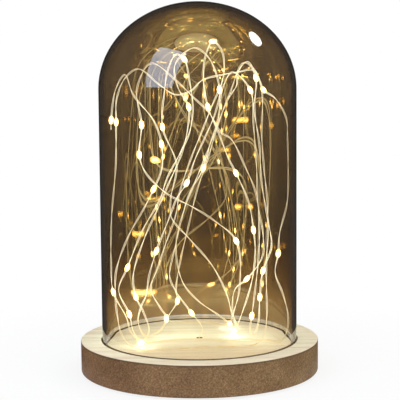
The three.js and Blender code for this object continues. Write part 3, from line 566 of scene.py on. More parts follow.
def dome_profile():
    """Up the inside from the rim to the axis and down the outside, the rim a half circle between them."""
    inner = GLASS_RADIUS - GLASS_WALL
    half = GLASS_WALL / 2
    return np.vstack([
        arc((0, SPRING_LINE), (inner, CROWN_HEIGHT - GLASS_WALL), 90, 0, CROWN_STEPS),
        line((inner, SPRING_LINE), (inner, GLASS_RIM + half), WALL_STEPS)[1:],
        arc((inner + half, GLASS_RIM + half), (half, half), -180, 0, RIM_STEPS),
        line((GLASS_RADIUS, GLASS_RIM + half), (GLASS_RADIUS, SPRING_LINE), WALL_STEPS)[1:],
        arc((0, SPRING_LINE), (GLASS_RADIUS, CROWN_HEIGHT), 0, 90, CROWN_STEPS),
    ])


glass_profile = dome_profile()
glass_profile[[0, -1], 0] = 0
dome = round_piece("glass_dome_blown", lathe_points(glass_profile, DOME_SIDES), sharp_degrees=80)
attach(dome, "dome")
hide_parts("glass_dome")

# %% [markdown]
# The base is turned from one board: a disc with a fine eased top edge, a rounder bottom edge and a groove
# that the glass drops into. That is a lathe again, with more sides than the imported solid, so that light
# runs round it without facets. The pocket for the battery tray isn't round, so it is cut afterwards, as a
# router would cut it, with blocks that have rounded corners.

# %% Turned wooden base
BASE_RADIUS = 75 * MM
BASE_BOTTOM = 1 * MM
GROOVE_INNER = 57.2 * MM
GROOVE_OUTER = 62.2 * MM
GROOVE_FLOOR = 17 * MM
TOP_EDGE = 0.5 * MM
BOTTOM_EDGE = 1.6 * MM
GROOVE_EDGE = 0.25 * MM
BASE_SIDES = 192
BASE_SHARP = 50
FLAT_STEPS, BOTTOM_STEPS, TOP_STEPS, GROOVE_STEPS = 6, 8, 6, 3


def base_profile():
    """From the axis out along the bottom, up the side, in over the top, down and up through the groove."""
    return np.vstack([
        line((0, BASE_BOTTOM), (BASE_RADIUS - BOTTOM_EDGE, BASE_BOTTOM), FLAT_STEPS),
        quarter((BASE_RADIUS - BOTTOM_EDGE, BASE_BOTTOM + BOTTOM_EDGE), BOTTOM_EDGE, -90, BOTTOM_STEPS),
        quarter((BASE_RADIUS - TOP_EDGE, BASE_TOP - TOP_EDGE), TOP_EDGE, 0, TOP_STEPS),
        quarter((GROOVE_OUTER + GROOVE_EDGE, BASE_TOP - GROOVE_EDGE), GROOVE_EDGE, 90, GROOVE_STEPS),
        [(GROOVE_OUTER, GROOVE_FLOOR), (GROOVE_INNER, GROOVE_FLOOR)],
        quarter((GROOVE_INNER - GROOVE_EDGE, BASE_TOP - GROOVE_EDGE), GROOVE_EDGE, 0, GROOVE_STEPS),
        line((GROOVE_INNER - GROOVE_EDGE, BASE_TOP), (0, BASE_TOP), FLAT_STEPS)[1:],
        [(0, BASE_TOP)],
    ])


base = round_piece("turned_base", lathe_points(base_profile(), BASE_SIDES), BASE_SHARP)

# %% Pocket and hole under the base
FIT = 0.3 * MM
TRAY_FLANGE = 5 * MM
POCKET_CORNER = 2.3 * MM
REBATE_CORNER = 7.3 * MM
REBATE_TOP = 3.3 * MM
HOLE_RADIUS = 2 * MM
HOLE_BOTTOM = 10 * MM


def rounded_outline(low, high, radius, steps=6):
    """Four quarter circles, each about its own corner's middle, in turn round a rectangle."""
    angle = np.radians(np.linspace(0, 90, steps + 1)[None, :] + 90 * np.arange(4)[:, None])
    low, high = np.array(low) + radius, np.array(high) - radius
    middles = np.array([(high[0], high[1]), (low[0], high[1]), (low[0], low[1]), (high[0], low[1])])
    return (middles[:, None] + radius * np.stack([np.cos(angle), np.sin(angle)], -1)).reshape(-1, 2)


def upright_block(name, outline, bottom, top):
    """An outline carried straight up: two rings with faces between them and one face over each end."""
    count = len(outline)
    rings = np.stack([np.column_stack([outline, np.full(count, height)]) for height in (bottom, top)])
    ends = [list(range(count))[::-1], list(range(count, 2 * count))]
    return piece_from(name, rings, grid_faces(2, count) + ends)


def cut_from(piece, cutters):
    """Takes the cutters out of a piece for good, and removes them."""
    for cutter in cutters:
        step = piece.modifiers.new("cut", "BOOLEAN")
        step.operation = "DIFFERENCE"
        step.solver = "EXACT"
        step.object = cutter
    ready = piece.evaluated_get(bpy.context.evaluated_depsgraph_get())
    whole = bpy.data.meshes.new_from_object(ready)
    piece.modifiers.clear()
    piece.data = whole
    for cutter in cutters:
        bpy.data.objects.remove(cutter)
    whole.set_sharp_from_angle(angle=np.radians(BASE_SHARP))
    print(piece.name, "faces after cutting:", len(whole.polygons))


tray_low, tray_high = (np.array(corner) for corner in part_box("battery_tray"))
inside_low, inside_high = tray_low[:2] + TRAY_FLANGE - FIT, tray_high[:2] - TRAY_FLANGE + FIT
pocket_outline = rounded_outline(inside_low, inside_high, POCKET_CORNER)
pocket = upright_block("pocket", pocket_outline, 0, tray_high[2] + FIT)
rebate_outline = rounded_outline(tray_low[:2] - FIT, tray_high[:2] + FIT, REBATE_CORNER)
rebate = upright_block("rebate", rebate_outline, 0, REBATE_TOP)
hole_outline = rounded_outline((-HOLE_RADIUS, -HOLE_RADIUS), (HOLE_RADIUS, HOLE_RADIUS), HOLE_RADIUS)
hole = upright_block("hole", hole_outline, HOLE_BOTTOM, BASE_TOP + FIT)
cut_from(base, [pocket, rebate, hole])
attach(base, "base")
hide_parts("wooden_base")

# %% [markdown]
# Under the base sit four felt pads and two small screws. A pad is a low disc with a soft edge, and a
# screw is a domed head with a cross sunk into it. The head is a grid in polar coordinates whose height is
# a function of place: the dome, less a cross-shaped hollow that fades out towards the rim.

# %% Felt pads
PAD_EDGE = 0.4 * MM
PAD_SIDES, PAD_STEPS = 40, 4
pad_boxes = np.array([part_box(f"foot_pad_{number}") for number in range(1, 5)])
pad_low, pad_high = pad_boxes[0]
pad_radius = (pad_high[0] - pad_low[0]) / 2
pad_height = pad_high[2]
pad_profile = np.vstack([
    [(0, 0)],
    quarter((pad_radius - PAD_EDGE, PAD_EDGE), PAD_EDGE, -90, PAD_STEPS),
    [(pad_radius, pad_height), (0, pad_height)],
])
pad_middles = pad_boxes.mean(axis=1) * [1, 1, 0]
pad_points = pad_middles[:, None, None] + lathe_points(pad_profile, PAD_SIDES)[None]
pads = round_piece("felt_pads", pad_points, sharp_degrees=60)
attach(pads, "base")
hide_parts("foot_pad_1", "foot_pad_2", "foot_pad_3", "foot_pad_4")

# %% Cross-head screws
HEAD_RADIUS = 2.0 * MM
HEAD_HEIGHT = 0.8 * MM
HEAD_DOME = 0.25 * MM
HEAD_RINGS = 16
RIM_SHARE = 0.94
SHANK_RADIUS = 1.0 * MM
CROSS_WIDTH = 0.28 * MM
ARM_INNER, ARM_OUTER = CROSS_WIDTH * 0.7, CROSS_WIDTH * 1.3
CROSS_REACH = 1.25 * MM
CROSS_FADE = CROSS_REACH * 0.6
CROSS_DEPTH = 0.5 * MM
SCREW_SIDES = 48
screw_boxes = np.array([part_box(f"tray_screw_{number}") for number in (1, 2)])


def smooth_step(value, low, high):
    """0 below low, 1 above high, and an s-shaped rise between: 3 t t - 2 t t t."""
    t = np.clip((value - low) / (high - low), 0, 1)
    return t * t * (3 - 2 * t)


def screw_points(bottom, top):
    """Rings from the middle of the head, with its cross, out to the rim, and then up the shank."""
    turn = np.linspace(0, 2 * np.pi, SCREW_SIDES, endpoint=False)
    rings = np.linspace(0, HEAD_RADIUS * RIM_SHARE, HEAD_RINGS)
    radius = np.concatenate([rings, [HEAD_RADIUS, HEAD_RADIUS]])[:, None]
    x, y = radius * np.cos(turn), radius * np.sin(turn)
    crown = HEAD_DOME * (radius / HEAD_RADIUS) ** 2
    off_arms = [smooth_step(np.abs(side), ARM_INNER, ARM_OUTER) for side in (x, y)]
    arm = np.maximum(1 - off_arms[0], 1 - off_arms[1])
    sunk = CROSS_DEPTH * arm * (1 - smooth_step(radius, CROSS_FADE, CROSS_REACH))
    z = bottom + crown + sunk
    z[-1] = bottom + HEAD_HEIGHT
    shank = np.array([(SHANK_RADIUS, bottom + HEAD_HEIGHT), (SHANK_RADIUS, top - SHANK_RADIUS), (0, top)])
    return np.concatenate([np.stack([x, y, z], -1), lathe_points(shank, SCREW_SIDES)])


one_screw = screw_points(screw_boxes[0, 0, 2], screw_boxes[0, 1, 2])
screw_middles = screw_boxes.mean(axis=1) * [1, 1, 0]
screws = round_piece("tray_screws", screw_middles[:, None, None] + one_screw[None], sharp_degrees=30)
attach(screws, "base")
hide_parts("tray_screw_1", "tray_screw_2")

# %% [markdown]
# Three slim cells lie in the bay, each turned end for end against the next. A cell is a lathe about its
# own length: a steel can, a sleeve that wraps over the rolled edges, and a nub at the positive end. The
# profile runs along x, so the lathe's axes are swapped round.

# %% Cells in the bay
CELL_SIDES, ROLL_STEPS = 48, 4
CELL_ROLL = 0.7 * MM
NUB_RADIUS = 1.9 * MM
NUB_LENGTH = 1.0 * MM
NUB_EDGE = 0.2 * MM
DISH = 0.25 * MM
DISH_SHARES = 0.66, 0.72, 0.78


def cell_profile(length, radius):
    """From the flat end over a rolled edge, along the sleeve, over the other edge and a dish to the nub."""
    can = length - NUB_LENGTH
    dish_inner, dish_middle, dish_outer = (radius * share for share in DISH_SHARES)
    return np.vstack([
        [(0, DISH), (dish_middle, DISH), (dish_outer, 0)],
        quarter((radius - CELL_ROLL, CELL_ROLL), CELL_ROLL, -90, ROLL_STEPS),
        quarter((radius - CELL_ROLL, can - CELL_ROLL), CELL_ROLL, 0, ROLL_STEPS),
        [(dish_middle, can), (dish_inner, can - DISH), (NUB_RADIUS, can - DISH)],
        [(NUB_RADIUS, length - NUB_EDGE), (NUB_RADIUS - NUB_EDGE, length), (0, length)],
    ])


CELL_FACING = np.array([1, -1, 1])
cell_boxes = np.array([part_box(f"battery_cell_{number}") for number in (1, 2, 3)])
cell_length = cell_boxes[0, 1, 0] - cell_boxes[0, 0, 0]
cell_radius = (cell_boxes[0, 1, 2] - cell_boxes[0, 0, 2]) / 2
upright = lathe_points(cell_profile(cell_length, cell_radius), CELL_SIDES)
flat_ends = np.where(CELL_FACING > 0, cell_boxes[:, 0, 0], cell_boxes[:, 1, 0])
cell_middles = cell_boxes.mean(axis=1)
cell_x = flat_ends[:, None, None] + CELL_FACING[:, None, None] * upright[None, ..., 2]
cell_y = cell_middles[:, 1, None, None] + upright[None, ..., 1]
cell_z = cell_middles[:, 2, None, None] + upright[None, ..., 0]
cells = round_piece("battery_cells", np.stack([cell_x, cell_y, cell_z], -1), sharp_degrees=40)
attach(cells, "base")
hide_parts("battery_cell_1", "battery_cell_2", "battery_cell_3")

# %% [markdown]
# Now the finishes. The wood is fine and pale on its planed faces. Round its turned side it takes a darker,
# browner copy of the wood: painted shade, since the side catches less light than the top. Grain runs along
# x:
# a noise stretched far along x gives the long streaks, and a finer one the pores. The side has fine flecks
# instead, and painted shade makes it redder and darker towards -x, painted light paler towards +x. Which
# colour shows is decided by how far the surface faces up, which the shader reads from the surface itself.

# %% Wood finish
TOP_DARK_FROM = 19.4 * MM
TOP_DARK_FULL = 20.4 * MM
TOP_DARK_SHARE = 0.55
CLOUD_SHARE = 0.6
PORE_SHARE = 0.5
SIDE_UP_TO, FACE_FROM = 0.35, 0.9
wood, tree, shader = new_finish("turned_wood")
streaks = noise(tree, (9, 190, 190), detail=5, roughness=0.6, distortion=0.35)
pores = noise(tree, (160, 1500, 1500), detail=3, roughness=0.7)
mottle = noise(tree, 1000, roughness=0.7)
clouds = noise(tree, (26, 60, 60), detail=2)
face_grain = ramp(tree, streaks, [
    (0.3, srgb(221, 197, 166)), (0.5, srgb(239, 220, 193)), (0.72, srgb(245, 230, 207))])
# painted shade: the turned side takes a darker, browner copy of the wood than the top
side_grain_shaded = ramp(tree, mottle, [
    (0.3, srgb(97, 73, 48)), (0.52, srgb(146, 114, 80)), (0.72, srgb(184, 151, 112))])
side_cloud = two_tone(tree, clouds, srgb(196, 178, 160), srgb(255, 252, 242))
shaded_side_colour = blend_colours(tree, CLOUD_SHARE, side_grain_shaded, side_cloud, "MULTIPLY")
place = own_place(tree)
# painted light and shade across the side: redder and darker towards -x, paler towards +x
minus_x_to_plus_x = remap(tree, place["X"], -BASE_RADIUS, BASE_RADIUS)
painted_light_and_shade = ramp(tree, minus_x_to_plus_x, [
    (0.0, (1.08, 0.92, 0.8)), (0.45, (1.0, 0.99, 0.98)), (1.0, (1.06, 1.16, 1.2))])
shaded_side_colour = blend_colours(tree, 1.0, shaded_side_colour, painted_light_and_shade, "MULTIPLY")
# the side is darker over its top millimetre, just under the top edge
top_edge_darkening = remap(tree, place["Z"], TOP_DARK_FROM, TOP_DARK_FULL, 0.0, TOP_DARK_SHARE)
shaded_side_colour = blend_colours(tree, top_edge_darkening, shaded_side_colour, srgb(70, 50, 34))
pore_tint = ramp(tree, pores, [(0.28, srgb(190, 160, 130)), (0.42, srgb(255, 255, 255))])
face_colour = blend_colours(tree, PORE_SHARE, face_grain, pore_tint, "MULTIPLY")
# the shaded side colour shows where the surface faces sideways, the pale face colour where it faces up
facing = add_node(tree, "ShaderNodeNewGeometry").outputs["Normal"]
upwards = add_node(tree, "ShaderNodeSeparateXYZ", vector=facing).outputs["Z"]
faces_up = remap(tree, upwards, SIDE_UP_TO, FACE_FROM)
wood_with_shaded_side = blend_colours(tree, faces_up, shaded_side_colour, face_colour)
set_inputs(shader, base_color=wood_with_shaded_side, specular_ior_level=0.3)
vary_roughness(tree, shader, streaks, 0.5, 0.66)
bump(tree, shader, mottle, strength=0.35, distance=0.2 * MM)
base.data.materials.clear()
base.data.materials.append(wood)

# %% [markdown]
# The smoked glass bends light and mirrors some of it, as the Fresnel law says, and more than plain glass
# does because of its lustre coat. Such a coat is sprayed on hot, thin outside and dense inside, and it
# fades out at the rim. In the photograph the string and the wood stand clear and bright, while all that
# lies beyond the dome is dark. So a ray takes up the tint where it goes into the glass: the thin outer
# coat on its way to the lights, and the dense inner one only where it leaves on the far side. The inner
# coat also mirrors the lights in gold. From within the wall its mirroring is darkened to almost nothing,
# painted shade that draws the dark outline. Shadow rays pass almost straight through, or the lights would
# be shut in.

# %% Inside and outside of the glass
def mesh_points(piece):
    """Every point of a piece's mesh."""
    points = np.empty(len(piece.data.vertices) * 3)
    piece.data.vertices.foreach_get("co", points)
    return points.reshape(-1, 3)


def keep_numbers(piece, name, numbers):
    """A number for every point of the mesh, which a finish can read by its name."""
    piece.data.attributes.new(name, "FLOAT", "POINT").data.foreach_set("value", numbers)


glass_points = mesh_points(dome)
over_spring = np.maximum(glass_points[:, 2] - SPRING_LINE, 0)
from_axis = np.hypot(glass_points[:, 0], glass_points[:, 1])
mid_wall = GLASS_WALL / 2
fullness = np.hypot(from_axis / (GLASS_RADIUS - mid_wall), over_spring / (CROWN_HEIGHT - mid_wall))
keep_numbers(dome, "inside", (fullness < 1).astype(float))
print("points on the inside of the glass:", (fullness < 1).sum(), "of", len(fullness))

# %% Smoked glass finish
GLASS_INDEX = 1.5
COAT_OUTSIDE = 0.1
COAT_INSIDE = 0.4
COAT_FROM = 25 * MM
COAT_FULL = 60 * MM
LUSTRE = (1.0, 0.87, 0.52)
MIRROR_ROUGHNESS = 0.004
MIRROR_DARKENED_WITHIN = (0.085, 0.066, 0.048)
SHADOW_TINT = (1.0, 0.99, 0.96)
SMOKE_OUTSIDE = (0.98, 0.965, 0.93)
SMOKE_BOTTOM, SMOKE_TOP = 21, 190
SMOKE_INSIDE = [
    (21, (0.96, 0.94, 0.88)), (23.4, (0.98, 0.94, 0.86)), (24.2, (0.356, 0.222, 0.088)),
    (40, (0.317, 0.181, 0.063)), (48, (0.123, 0.07, 0.029)), (58, (0.086, 0.051, 0.023)),
    (80, (0.064, 0.045, 0.027)), (108, (0.094, 0.065, 0.038)), (140, (0.11, 0.076, 0.045)),
    (165, (0.122, 0.088, 0.055)), (190, (0.151, 0.107, 0.067)),
]
glass, tree, shader = new_finish("smoked_glass")
tree.nodes.remove(shader)
upward = own_place(tree)["Z"]
height = remap(tree, upward, SMOKE_BOTTOM * MM, SMOKE_TOP * MM)
inside = add_node(tree, "ShaderNodeAttribute", attribute_name="inside").outputs["Fac"]
leaving = add_node(tree, "ShaderNodeNewGeometry").outputs["Backfacing"]
stops = [((z - SMOKE_BOTTOM) / (SMOKE_TOP - SMOKE_BOTTOM), colour) for z, colour in SMOKE_INSIDE]
drifts = noise(tree, (70, 70, 7), distortion=0.8)
uneven = ramp(tree, drifts, [
    (0.34, (0.72, 0.7, 0.68)), (0.5, (0.95, 0.94, 0.92)), (0.66, (1.3, 1.22, 1.06))])
inner_smoke = blend_colours(tree, 1.0, ramp(tree, height, stops), uneven, "MULTIPLY")
smoke = blend_colours(tree, inside, SMOKE_OUTSIDE, inner_smoke)
tint = blend_colours(tree, leaving, smoke, (1.0, 1.0, 1.0))
bend = add_node(tree, "ShaderNodeBsdfRefraction", color=tint, roughness=0.0, ior=GLASS_INDEX)
full_coat = remap(tree, inside, 0.0, 1.0, COAT_OUTSIDE, COAT_INSIDE)
coat = remap(tree, upward, COAT_FROM, COAT_FULL, 0.0, full_coat)
coat_met = remap(tree, leaving, 0.0, 1.0, coat, 0.0)
lustre = blend_colours(tree, inside, (1.0, 1.0, 1.0), LUSTRE)
# painted shade: seen from within the wall the mirroring is darkened, which draws the dark outline
outline_shade_mirror = blend_colours(tree, leaving, lustre, MIRROR_DARKENED_WITHIN)
mirror = add_node(tree, "ShaderNodeBsdfGlossy", color=outline_shade_mirror, roughness=MIRROR_ROUGHNESS)
fresnel = add_node(tree, "ShaderNodeFresnel", ior=GLASS_INDEX).outputs["Fac"]
mirrored = remap(tree, fresnel, 0.0, 1.0, coat_met, 1.0)
both = mix_shaders(tree, mirrored, bend.outputs["BSDF"], mirror.outputs["BSDF"])
let_light_through(tree, both, SHADOW_TINT)
dome.data.materials.append(glass)
plain_share = ((GLASS_INDEX - 1) / (GLASS_INDEX + 1)) ** 2
print("mirrored head on, outside:", round(COAT_OUTSIDE + (1 - COAT_OUTSIDE) * plain_share, 3))

# %% [markdown]
# The strands are fine copper under a pale enamel. They give no light of their own, but so thin a strand
# catches the drops' light in ways that a render with few samples hardly finds, so a glow stands for that
# light. It is strongest beside a drop, and dimmer and more golden between drops. Every point of the
# strands gets a number for it from its distances to the drops, kept in the mesh as an attribute that the
# finish reads.

# %% Light that reaches the strands
LIGHT_REACH = 9 * MM


def light_received(points):
    """Light of all drops at each point: the sum of 1 / (1 + (d / reach) squared), d its distance."""
    distance = np.linalg.norm(points[:, None, :] - light_middles[None], axis=2)
    return (1 / (1 + (distance / LIGHT_REACH) ** 2)).sum(axis=1)


strand_light = light_received(mesh_points(light_wire))
keep_numbers(light_wire, "received", strand_light)
lowest, highest, median = strand_light.min(), strand_light.max(), np.median(strand_light)
print("light on the strands from", round(lowest, 2), "to", round(highest, 2), "middle", round(median, 2))

# %% [markdown]
# The drops are clear resin that scatters a little of the chip's light, so they glow gold to their edge.
# The chips inside are warm white. Under the glass all this shows as in the photograph, pale on dark. With
# the dome lifted off, so strong a glow would be lost on the white background, so it is weaker for a ray
# that came in through no glass, and the strands then show more of their copper. The shader can count how
# many clear surfaces a ray came in through, and the chips' own resin is one of them.

# %% Wire, resin and chip finishes
WIRE_GLOW, WIRE_GLOW_BARE = 1.15, 0.22
RESIN_GLOW, RESIN_GLOW_BARE = 1.8, 0.8
CHIP_GLOW, CHIP_GLOW_BARE = 7.4, 3.0
BARE_STRAND = srgb(178, 126, 60)
DIM, BRIGHT = 0.5, 2.0
RISE_FROM = 22 * MM
RISE_FULL = 40 * MM


def glow_strength(tree, shader, bare, under_glass, skins=0):
    """The glow: bare for rays through at most so many clear skins, under_glass for those through more."""
    covered = remap(tree, ray_facts(tree)["Transmission Depth"], skins, skins + 1)
    set_inputs(shader, emission_strength=remap(tree, covered, 0.0, 1.0, bare, under_glass))
    return covered


wire_finish, tree, shader = new_finish("enamelled_strand")
worn = noise(tree, 400, detail=3)
enamel = two_tone(tree, worn, srgb(196, 172, 128), srgb(216, 195, 154))
covered = glow_strength(tree, shader, WIRE_GLOW_BARE, WIRE_GLOW)
received = add_node(tree, "ShaderNodeAttribute", attribute_name="received").outputs["Fac"]
lit = ramp(tree, remap(tree, received, DIM, BRIGHT), [
    (0.0, (0.5, 0.44, 0.31)), (0.4, (0.86, 0.79, 0.61)), (1.0, (1.0, 0.95, 0.75))])
# the painted glow on the strands is dimmer and browner close to the wood
off_wood = remap(tree, own_place(tree)["Z"], RISE_FROM, RISE_FULL)
glow_dimmed_near_wood = ramp(tree, off_wood, [(0.0, (0.5, 0.46, 0.36)), (1.0, (1.0, 1.0, 1.0))])
set_inputs(shader, base_color=blend_colours(tree, covered, BARE_STRAND, enamel), metallic=0.1,
           emission_color=blend_colours(tree, 1.0, lit, glow_dimmed_near_wood, "MULTIPLY"))
vary_roughness(tree, shader, worn, 0.28, 0.45)
light_wire.data.materials.append(wire_finish)

resin, tree, shader = new_finish("clear_resin")
cloudy = noise(tree, 900, detail=2)
set_inputs(shader, base_color=srgb(255, 240, 214), roughness=0.08, ior=1.45, transmission_weight=1.0,
           emission_color=two_tone(tree, cloudy, srgb(255, 198, 92), srgb(255, 218, 132)))
glow_strength(tree, shader, RESIN_GLOW_BARE, RESIN_GLOW)
let_light_through(tree, shader.outputs["BSDF"])
drops.data.materials.append(resin)

chip_finish, tree, shader = new_finish("warm_chip")
phosphor = noise(tree, 1200, detail=2)
set_inputs(shader, base_color=two_tone(tree, phosphor, srgb(255, 232, 180), srgb(255, 240, 202)),
           emission_color=srgb(255, 240, 212))
glow_strength(tree, shader, CHIP_GLOW_BARE, CHIP_GLOW, skins=1)
chips.data.materials.append(chip_finish)

# %% [markdown]
# The rest shows only from below or with the battery cover open. Moulded plastic has a fine spark-eroded
# skin, felt is a tangle of fibres, plated steel has brush lines, and a circuit board has tracks under its
# green varnish. Each is a small recipe of noises on Object coordinates. Solids that keep their packed
# shape take the finish in their own material slot.

# %% Felt, plastic, steel and sleeve
ROUGHNESS_SPREAD = 0.06


def plain_finish(name, dark, light, stretch, roughness, metallic=0.0, relief=0.2, depth=0.1 * MM):
    """Two shades of one colour mixed by a noise, with the same noise in the relief and the roughness."""
    finish, tree, shader = new_finish(name)
    grain = noise(tree, stretch, roughness=0.6)
    set_inputs(shader, base_color=two_tone(tree, grain, dark, light), metallic=metallic)
    vary_roughness(tree, shader, grain, roughness - ROUGHNESS_SPREAD, roughness + ROUGHNESS_SPREAD)
    bump(tree, shader, grain, relief, depth)
    return finish


felt = plain_finish("dense_felt", srgb(52, 46, 41), srgb(92, 84, 76), 2600, 0.9,
                    relief=0.8, depth=0.3 * MM)
black_plastic = plain_finish("moulded_plastic", srgb(24, 24, 26), srgb(34, 34, 36), 2200, 0.46)
steel = plain_finish("plated_steel", srgb(176, 178, 182), srgb(214, 215, 218), (300, 3000, 3000), 0.28,
                     metallic=1.0, relief=0.08)
lead_red = plain_finish("red_lead_skin", srgb(148, 26, 22), srgb(176, 40, 32), 1500, 0.4, relief=0.1)
lead_black = plain_finish("black_lead_skin", srgb(20, 20, 20), srgb(32, 32, 32), 1500, 0.4, relief=0.1)
pads.data.materials.append(felt)
screws.data.materials.append(steel)

BAND_FULL = 9.4 * MM
BAND_END = 9.7 * MM
BAND_SHADE = 12 * MM
sleeve, tree, shader = new_finish("cell_sleeve")
along_cell = own_place(tree)["X"]
scuffs = noise(tree, (120, 700, 700))
wrap = two_tone(tree, scuffs, srgb(70, 76, 80), srgb(92, 98, 102))
band_edge, band_middle = srgb(88, 120, 104), srgb(112, 146, 126)
band = ramp(tree, remap(tree, along_cell, -BAND_SHADE, BAND_SHADE),
            [(0.0, band_edge), (0.5, band_middle), (1.0, band_edge)])
in_band = remap(tree, calculate(tree, "ABSOLUTE", along_cell), BAND_FULL, BAND_END, 1.0, 0.0)
set_inputs(shader, base_color=blend_colours(tree, in_band, wrap, band), metallic=0.3)
vary_roughness(tree, shader, scuffs, 0.26, 0.4)
cells.data.materials.append(sleeve)

# %% Board and resistor
TRACK_STRETCH = 420
board, tree, shader = new_finish("board_varnish")
tracks = add_node(tree, "ShaderNodeTexBrick", vector=object_coordinates(tree, TRACK_STRETCH), scale=1.0,
                  color1=srgb(30, 84, 50), color2=srgb(34, 92, 56), mortar=srgb(74, 130, 84),
                  mortar_size=0.06)
set_inputs(shader, base_color=tracks.outputs["Color"])
vary_roughness(tree, shader, noise(tree, TRACK_STRETCH, scale=3.0), 0.3, 0.42)

RESISTOR_HALF = 3 * MM
resistor_low, resistor_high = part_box("resistor")
resistor_middle = (resistor_low[0] + resistor_high[0]) / 2
ends = resistor_middle - RESISTOR_HALF, resistor_middle + RESISTOR_HALF
bands, tree, shader = new_finish("resistor_bands")
tan, brown, black, gold = srgb(206, 178, 134), srgb(96, 54, 30), srgb(28, 26, 24), srgb(184, 146, 62)
rings = ramp(tree, remap(tree, own_place(tree)["X"], *ends), [
    (0.0, tan), (0.14, brown), (0.22, tan), (0.36, black), (0.44, tan), (0.54, brown), (0.62, tan),
    (0.8, gold), (0.88, tan)])
rings.node.color_ramp.interpolation = "CONSTANT"
set_inputs(shader, base_color=rings)
vary_roughness(tree, shader, noise(tree, 900), 0.3, 0.45)

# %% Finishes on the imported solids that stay
KEPT_SOLIDS = {
    "battery_tray": black_plastic, "battery_cover": black_plastic, "switch_body": black_plastic,
    "switch_slider": black_plastic, "positive_contact": steel, "bridge_contact_left": steel,
    "bridge_contact_right": steel, "negative_contact": steel, "circuit_board": board, "resistor": bands,
    "red_lead": lead_red, "black_lead": lead_black,
}
for name, finish in KEPT_SOLIDS.items():
    nodes[name].material_slots[0].material = finish
print("finishes on packed solids:", len(KEPT_SOLIDS))

# %% [markdown]
# A product picture on white: a pale floor that turns to plain white away from the object, and a white
# world. Both are white for the eye and for what the glass shows, but light the object only mildly. The
# floor keeps the object's soft shadow, because close to the object it is an ordinary matt surface.

# %% Floor and world
FLOOR_SIZE = 8.0
FLOOR_GAP = 0.1 * MM
SHADOW_NEAR = 0.09
SHADOW_FAR = 0.24
WHITE_NEAR = 0.85
WORLD_LIGHT = 0.35
corners = np.array([(-1, -1, 0), (1, -1, 0), (1, 1, 0), (-1, 1, 0)]) * FLOOR_SIZE / 2
floor = piece_from("pale_floor", corners - [0, 0, FLOOR_GAP], [(0, 1, 2, 3)])


def seen_directly(tree):
    """1 for rays from the camera, or from a reflection or a refraction; 0 for the rest."""
    ray = ray_facts(tree)
    seen = calculate(tree, "MAXIMUM", ray["Is Camera Ray"], ray["Is Glossy Ray"])
    return calculate(tree, "MAXIMUM", seen, ray["Is Transmission Ray"])


floor_finish, tree, shader = new_finish("pale_floor")
set_inputs(shader, base_color=(0.9, 0.9, 0.9), roughness=0.9, specular_ior_level=0.1)
place = add_node(tree, "ShaderNodeTexCoord")
reach = add_node(tree, "ShaderNodeVectorMath", operation="LENGTH", vector=place.outputs["Object"])
away = remap(tree, reach.outputs["Value"], SHADOW_NEAR, SHADOW_FAR, WHITE_NEAR, 1.0)
share = calculate(tree, "MULTIPLY", away, seen_directly(tree))
white = add_node(tree, "ShaderNodeEmission", color=(1, 1, 1), strength=1.0)
show(tree, mix_shaders(tree, share, shader.outputs["BSDF"], white.outputs["Emission"]))
floor.data.materials.append(floor_finish)

world = bpy.data.worlds.new("white_studio")
bpy.context.scene.world = world
world.use_nodes = True
tree = world.node_tree
brightness = remap(tree, seen_directly(tree), 0.0, 1.0, WORLD_LIGHT, 1.0)
set_inputs(tree.nodes["Background"], color=(1, 1, 1), strength=brightness)
print("world lights the object at", WORLD_LIGHT)

# %% [markdown]
# Glass mirrors whatever stands round it, most of all along its outline. With white on all sides the
# outline would fade into the background, so a photographer hangs dark cloth round the table, out of the
# picture. Here that is a dark tent which only mirrored rays meet: it shades nothing and hides nothing.

# %% Dark cloth round the table
TENT_START = 0.09
TENT_RADIUS = 2.6
TENT_HEM = 1 * MM
TENT_SIDES, TENT_STEPS = 64, 12
tent_profile = np.vstack([
    [(TENT_START, TENT_HEM)],
    quarter((0, TENT_HEM), TENT_RADIUS, 0, TENT_STEPS),
])
tent_profile[-1, 0] = 0
tent = round_piece("dark_tent", lathe_points(tent_profile, TENT_SIDES))
hide_from(tent, "camera", "diffuse", "transmission", "shadow")
tent_finish, tree, shader = new_finish("dark_cloth")
set_inputs(shader, base_color=(0.02, 0.018, 0.016), roughness=1.0)
tent.data.materials.append(tent_finish)

# %% [markdown]
# Soft lamps: a wide panel above the camera, a window-like panel to its left and a weaker one to its
# right. The glass mirrors such lamps, and the photograph shows where: a pale window high on the left of
# the crown and a small round highlight on the right. A mirror sends the eye's ray off at the same angle
# on the other side of the normal, so each mirrored panel goes where the ray through that place in the
# picture comes from.

# %% Lamps where the glass should mirror them
OBJECT_MIDDLE = np.array([0, 0, 0.1])
WINDOW_PIXEL = (163, 68)
SPOT_PIXEL = (255.5, 39)
MIRROR_DISTANCE = 1.3


def mirrored_from(pixel):
    """The ray of a pixel meets the crown's ellipsoid, and leaves along d - 2 (d . n) n."""
    across, down = np.array(pixel) - PICTURE_SIZE / 2
    ray = unit(forward * FOCAL_PIXELS + right * across - up * down)
    axes = np.array([GLASS_RADIUS, GLASS_RADIUS, CROWN_HEIGHT])
    start = (eye - [0, 0, SPRING_LINE]) / axes
    step = ray / axes
    a, b, c = step @ step, start @ step, start @ start - 1
    meets = eye + ray * (-b - np.sqrt(b * b - a * c)) / a
    normal = unit((meets - [0, 0, SPRING_LINE]) / axes**2)
    return meets, ray - 2 * (ray @ normal) * normal


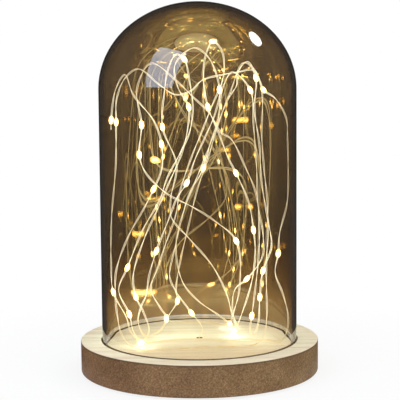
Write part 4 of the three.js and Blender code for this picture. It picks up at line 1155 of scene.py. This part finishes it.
def panel(name, place, towards, size, watts, colour=(1, 1, 1), shape="RECTANGLE"):
    """An area lamp at a place, its face towards a point. The lamp shines along its own -z."""
    lamp = bpy.data.lights.new(name, "AREA")
    lamp.shape = shape
    lamp.size, lamp.size_y = size
    lamp.energy = watts
    lamp.color = colour
    back = unit(np.array(place) - np.array(towards))
    side = unit(np.cross([0, 0, 1], back))
    stand = set_up(name, lamp, place, (side, np.cross(back, side), back))
    hide_from(stand, "camera")
    print(name, "at", np.round(place, 2))
    return stand


window_point, window_ray = mirrored_from(WINDOW_PIXEL)
spot_point, spot_ray = mirrored_from(SPOT_PIXEL)
overhead = panel("overhead_panel", (0.0, -0.4, 1.6), OBJECT_MIDDLE, size=(1.2, 1.2), watts=8)
panel("window_panel", window_point + window_ray * MIRROR_DISTANCE, window_point, size=(0.84, 1.3),
      watts=8.0, colour=srgb(208, 226, 255))
fill = panel("fill_panel", (1.0, -0.9, 0.7), OBJECT_MIDDLE, size=(0.8, 0.8), watts=6.4,
             colour=srgb(255, 246, 224))
panel("round_panel", spot_point + spot_ray * MIRROR_DISTANCE, spot_point, size=(0.42, 0.25), watts=2.2,
      shape="ELLIPSE")
hide_from(overhead, "glossy")
hide_from(fill, "glossy")

# %% [markdown]
# Each chip gets a small lamp in its middle. The chips' own glow is kept to what looks right on a screen,
# and the lamps do the lighting: they brighten the wire, the wood under the glass and the glass's inside.
# The wood is yellow itself and turned orange under white lamps, so these are cooler than white.

# %% Lamps in the drops
LIGHT_WATTS = 0.006
LIGHT_SIZE = 0.8 * MM
LIGHT_COLOUR = (0.62, 1.0, 1.0)
drop_lamp = bpy.data.lights.new("drop_lamp", "POINT")
drop_lamp.energy = LIGHT_WATTS
drop_lamp.shadow_soft_size = LIGHT_SIZE
drop_lamp.color = LIGHT_COLOUR
for number, middle in enumerate(light_middles, start=1):
    lamp = set_up(f"drop_lamp_{number:02d}", drop_lamp, middle, np.eye(3))
    hide_from(lamp, "camera", "transmission", "glossy")
print("lamps in drops:", len(light_middles), "watts in all:", round(LIGHT_WATTS * len(light_middles), 2))
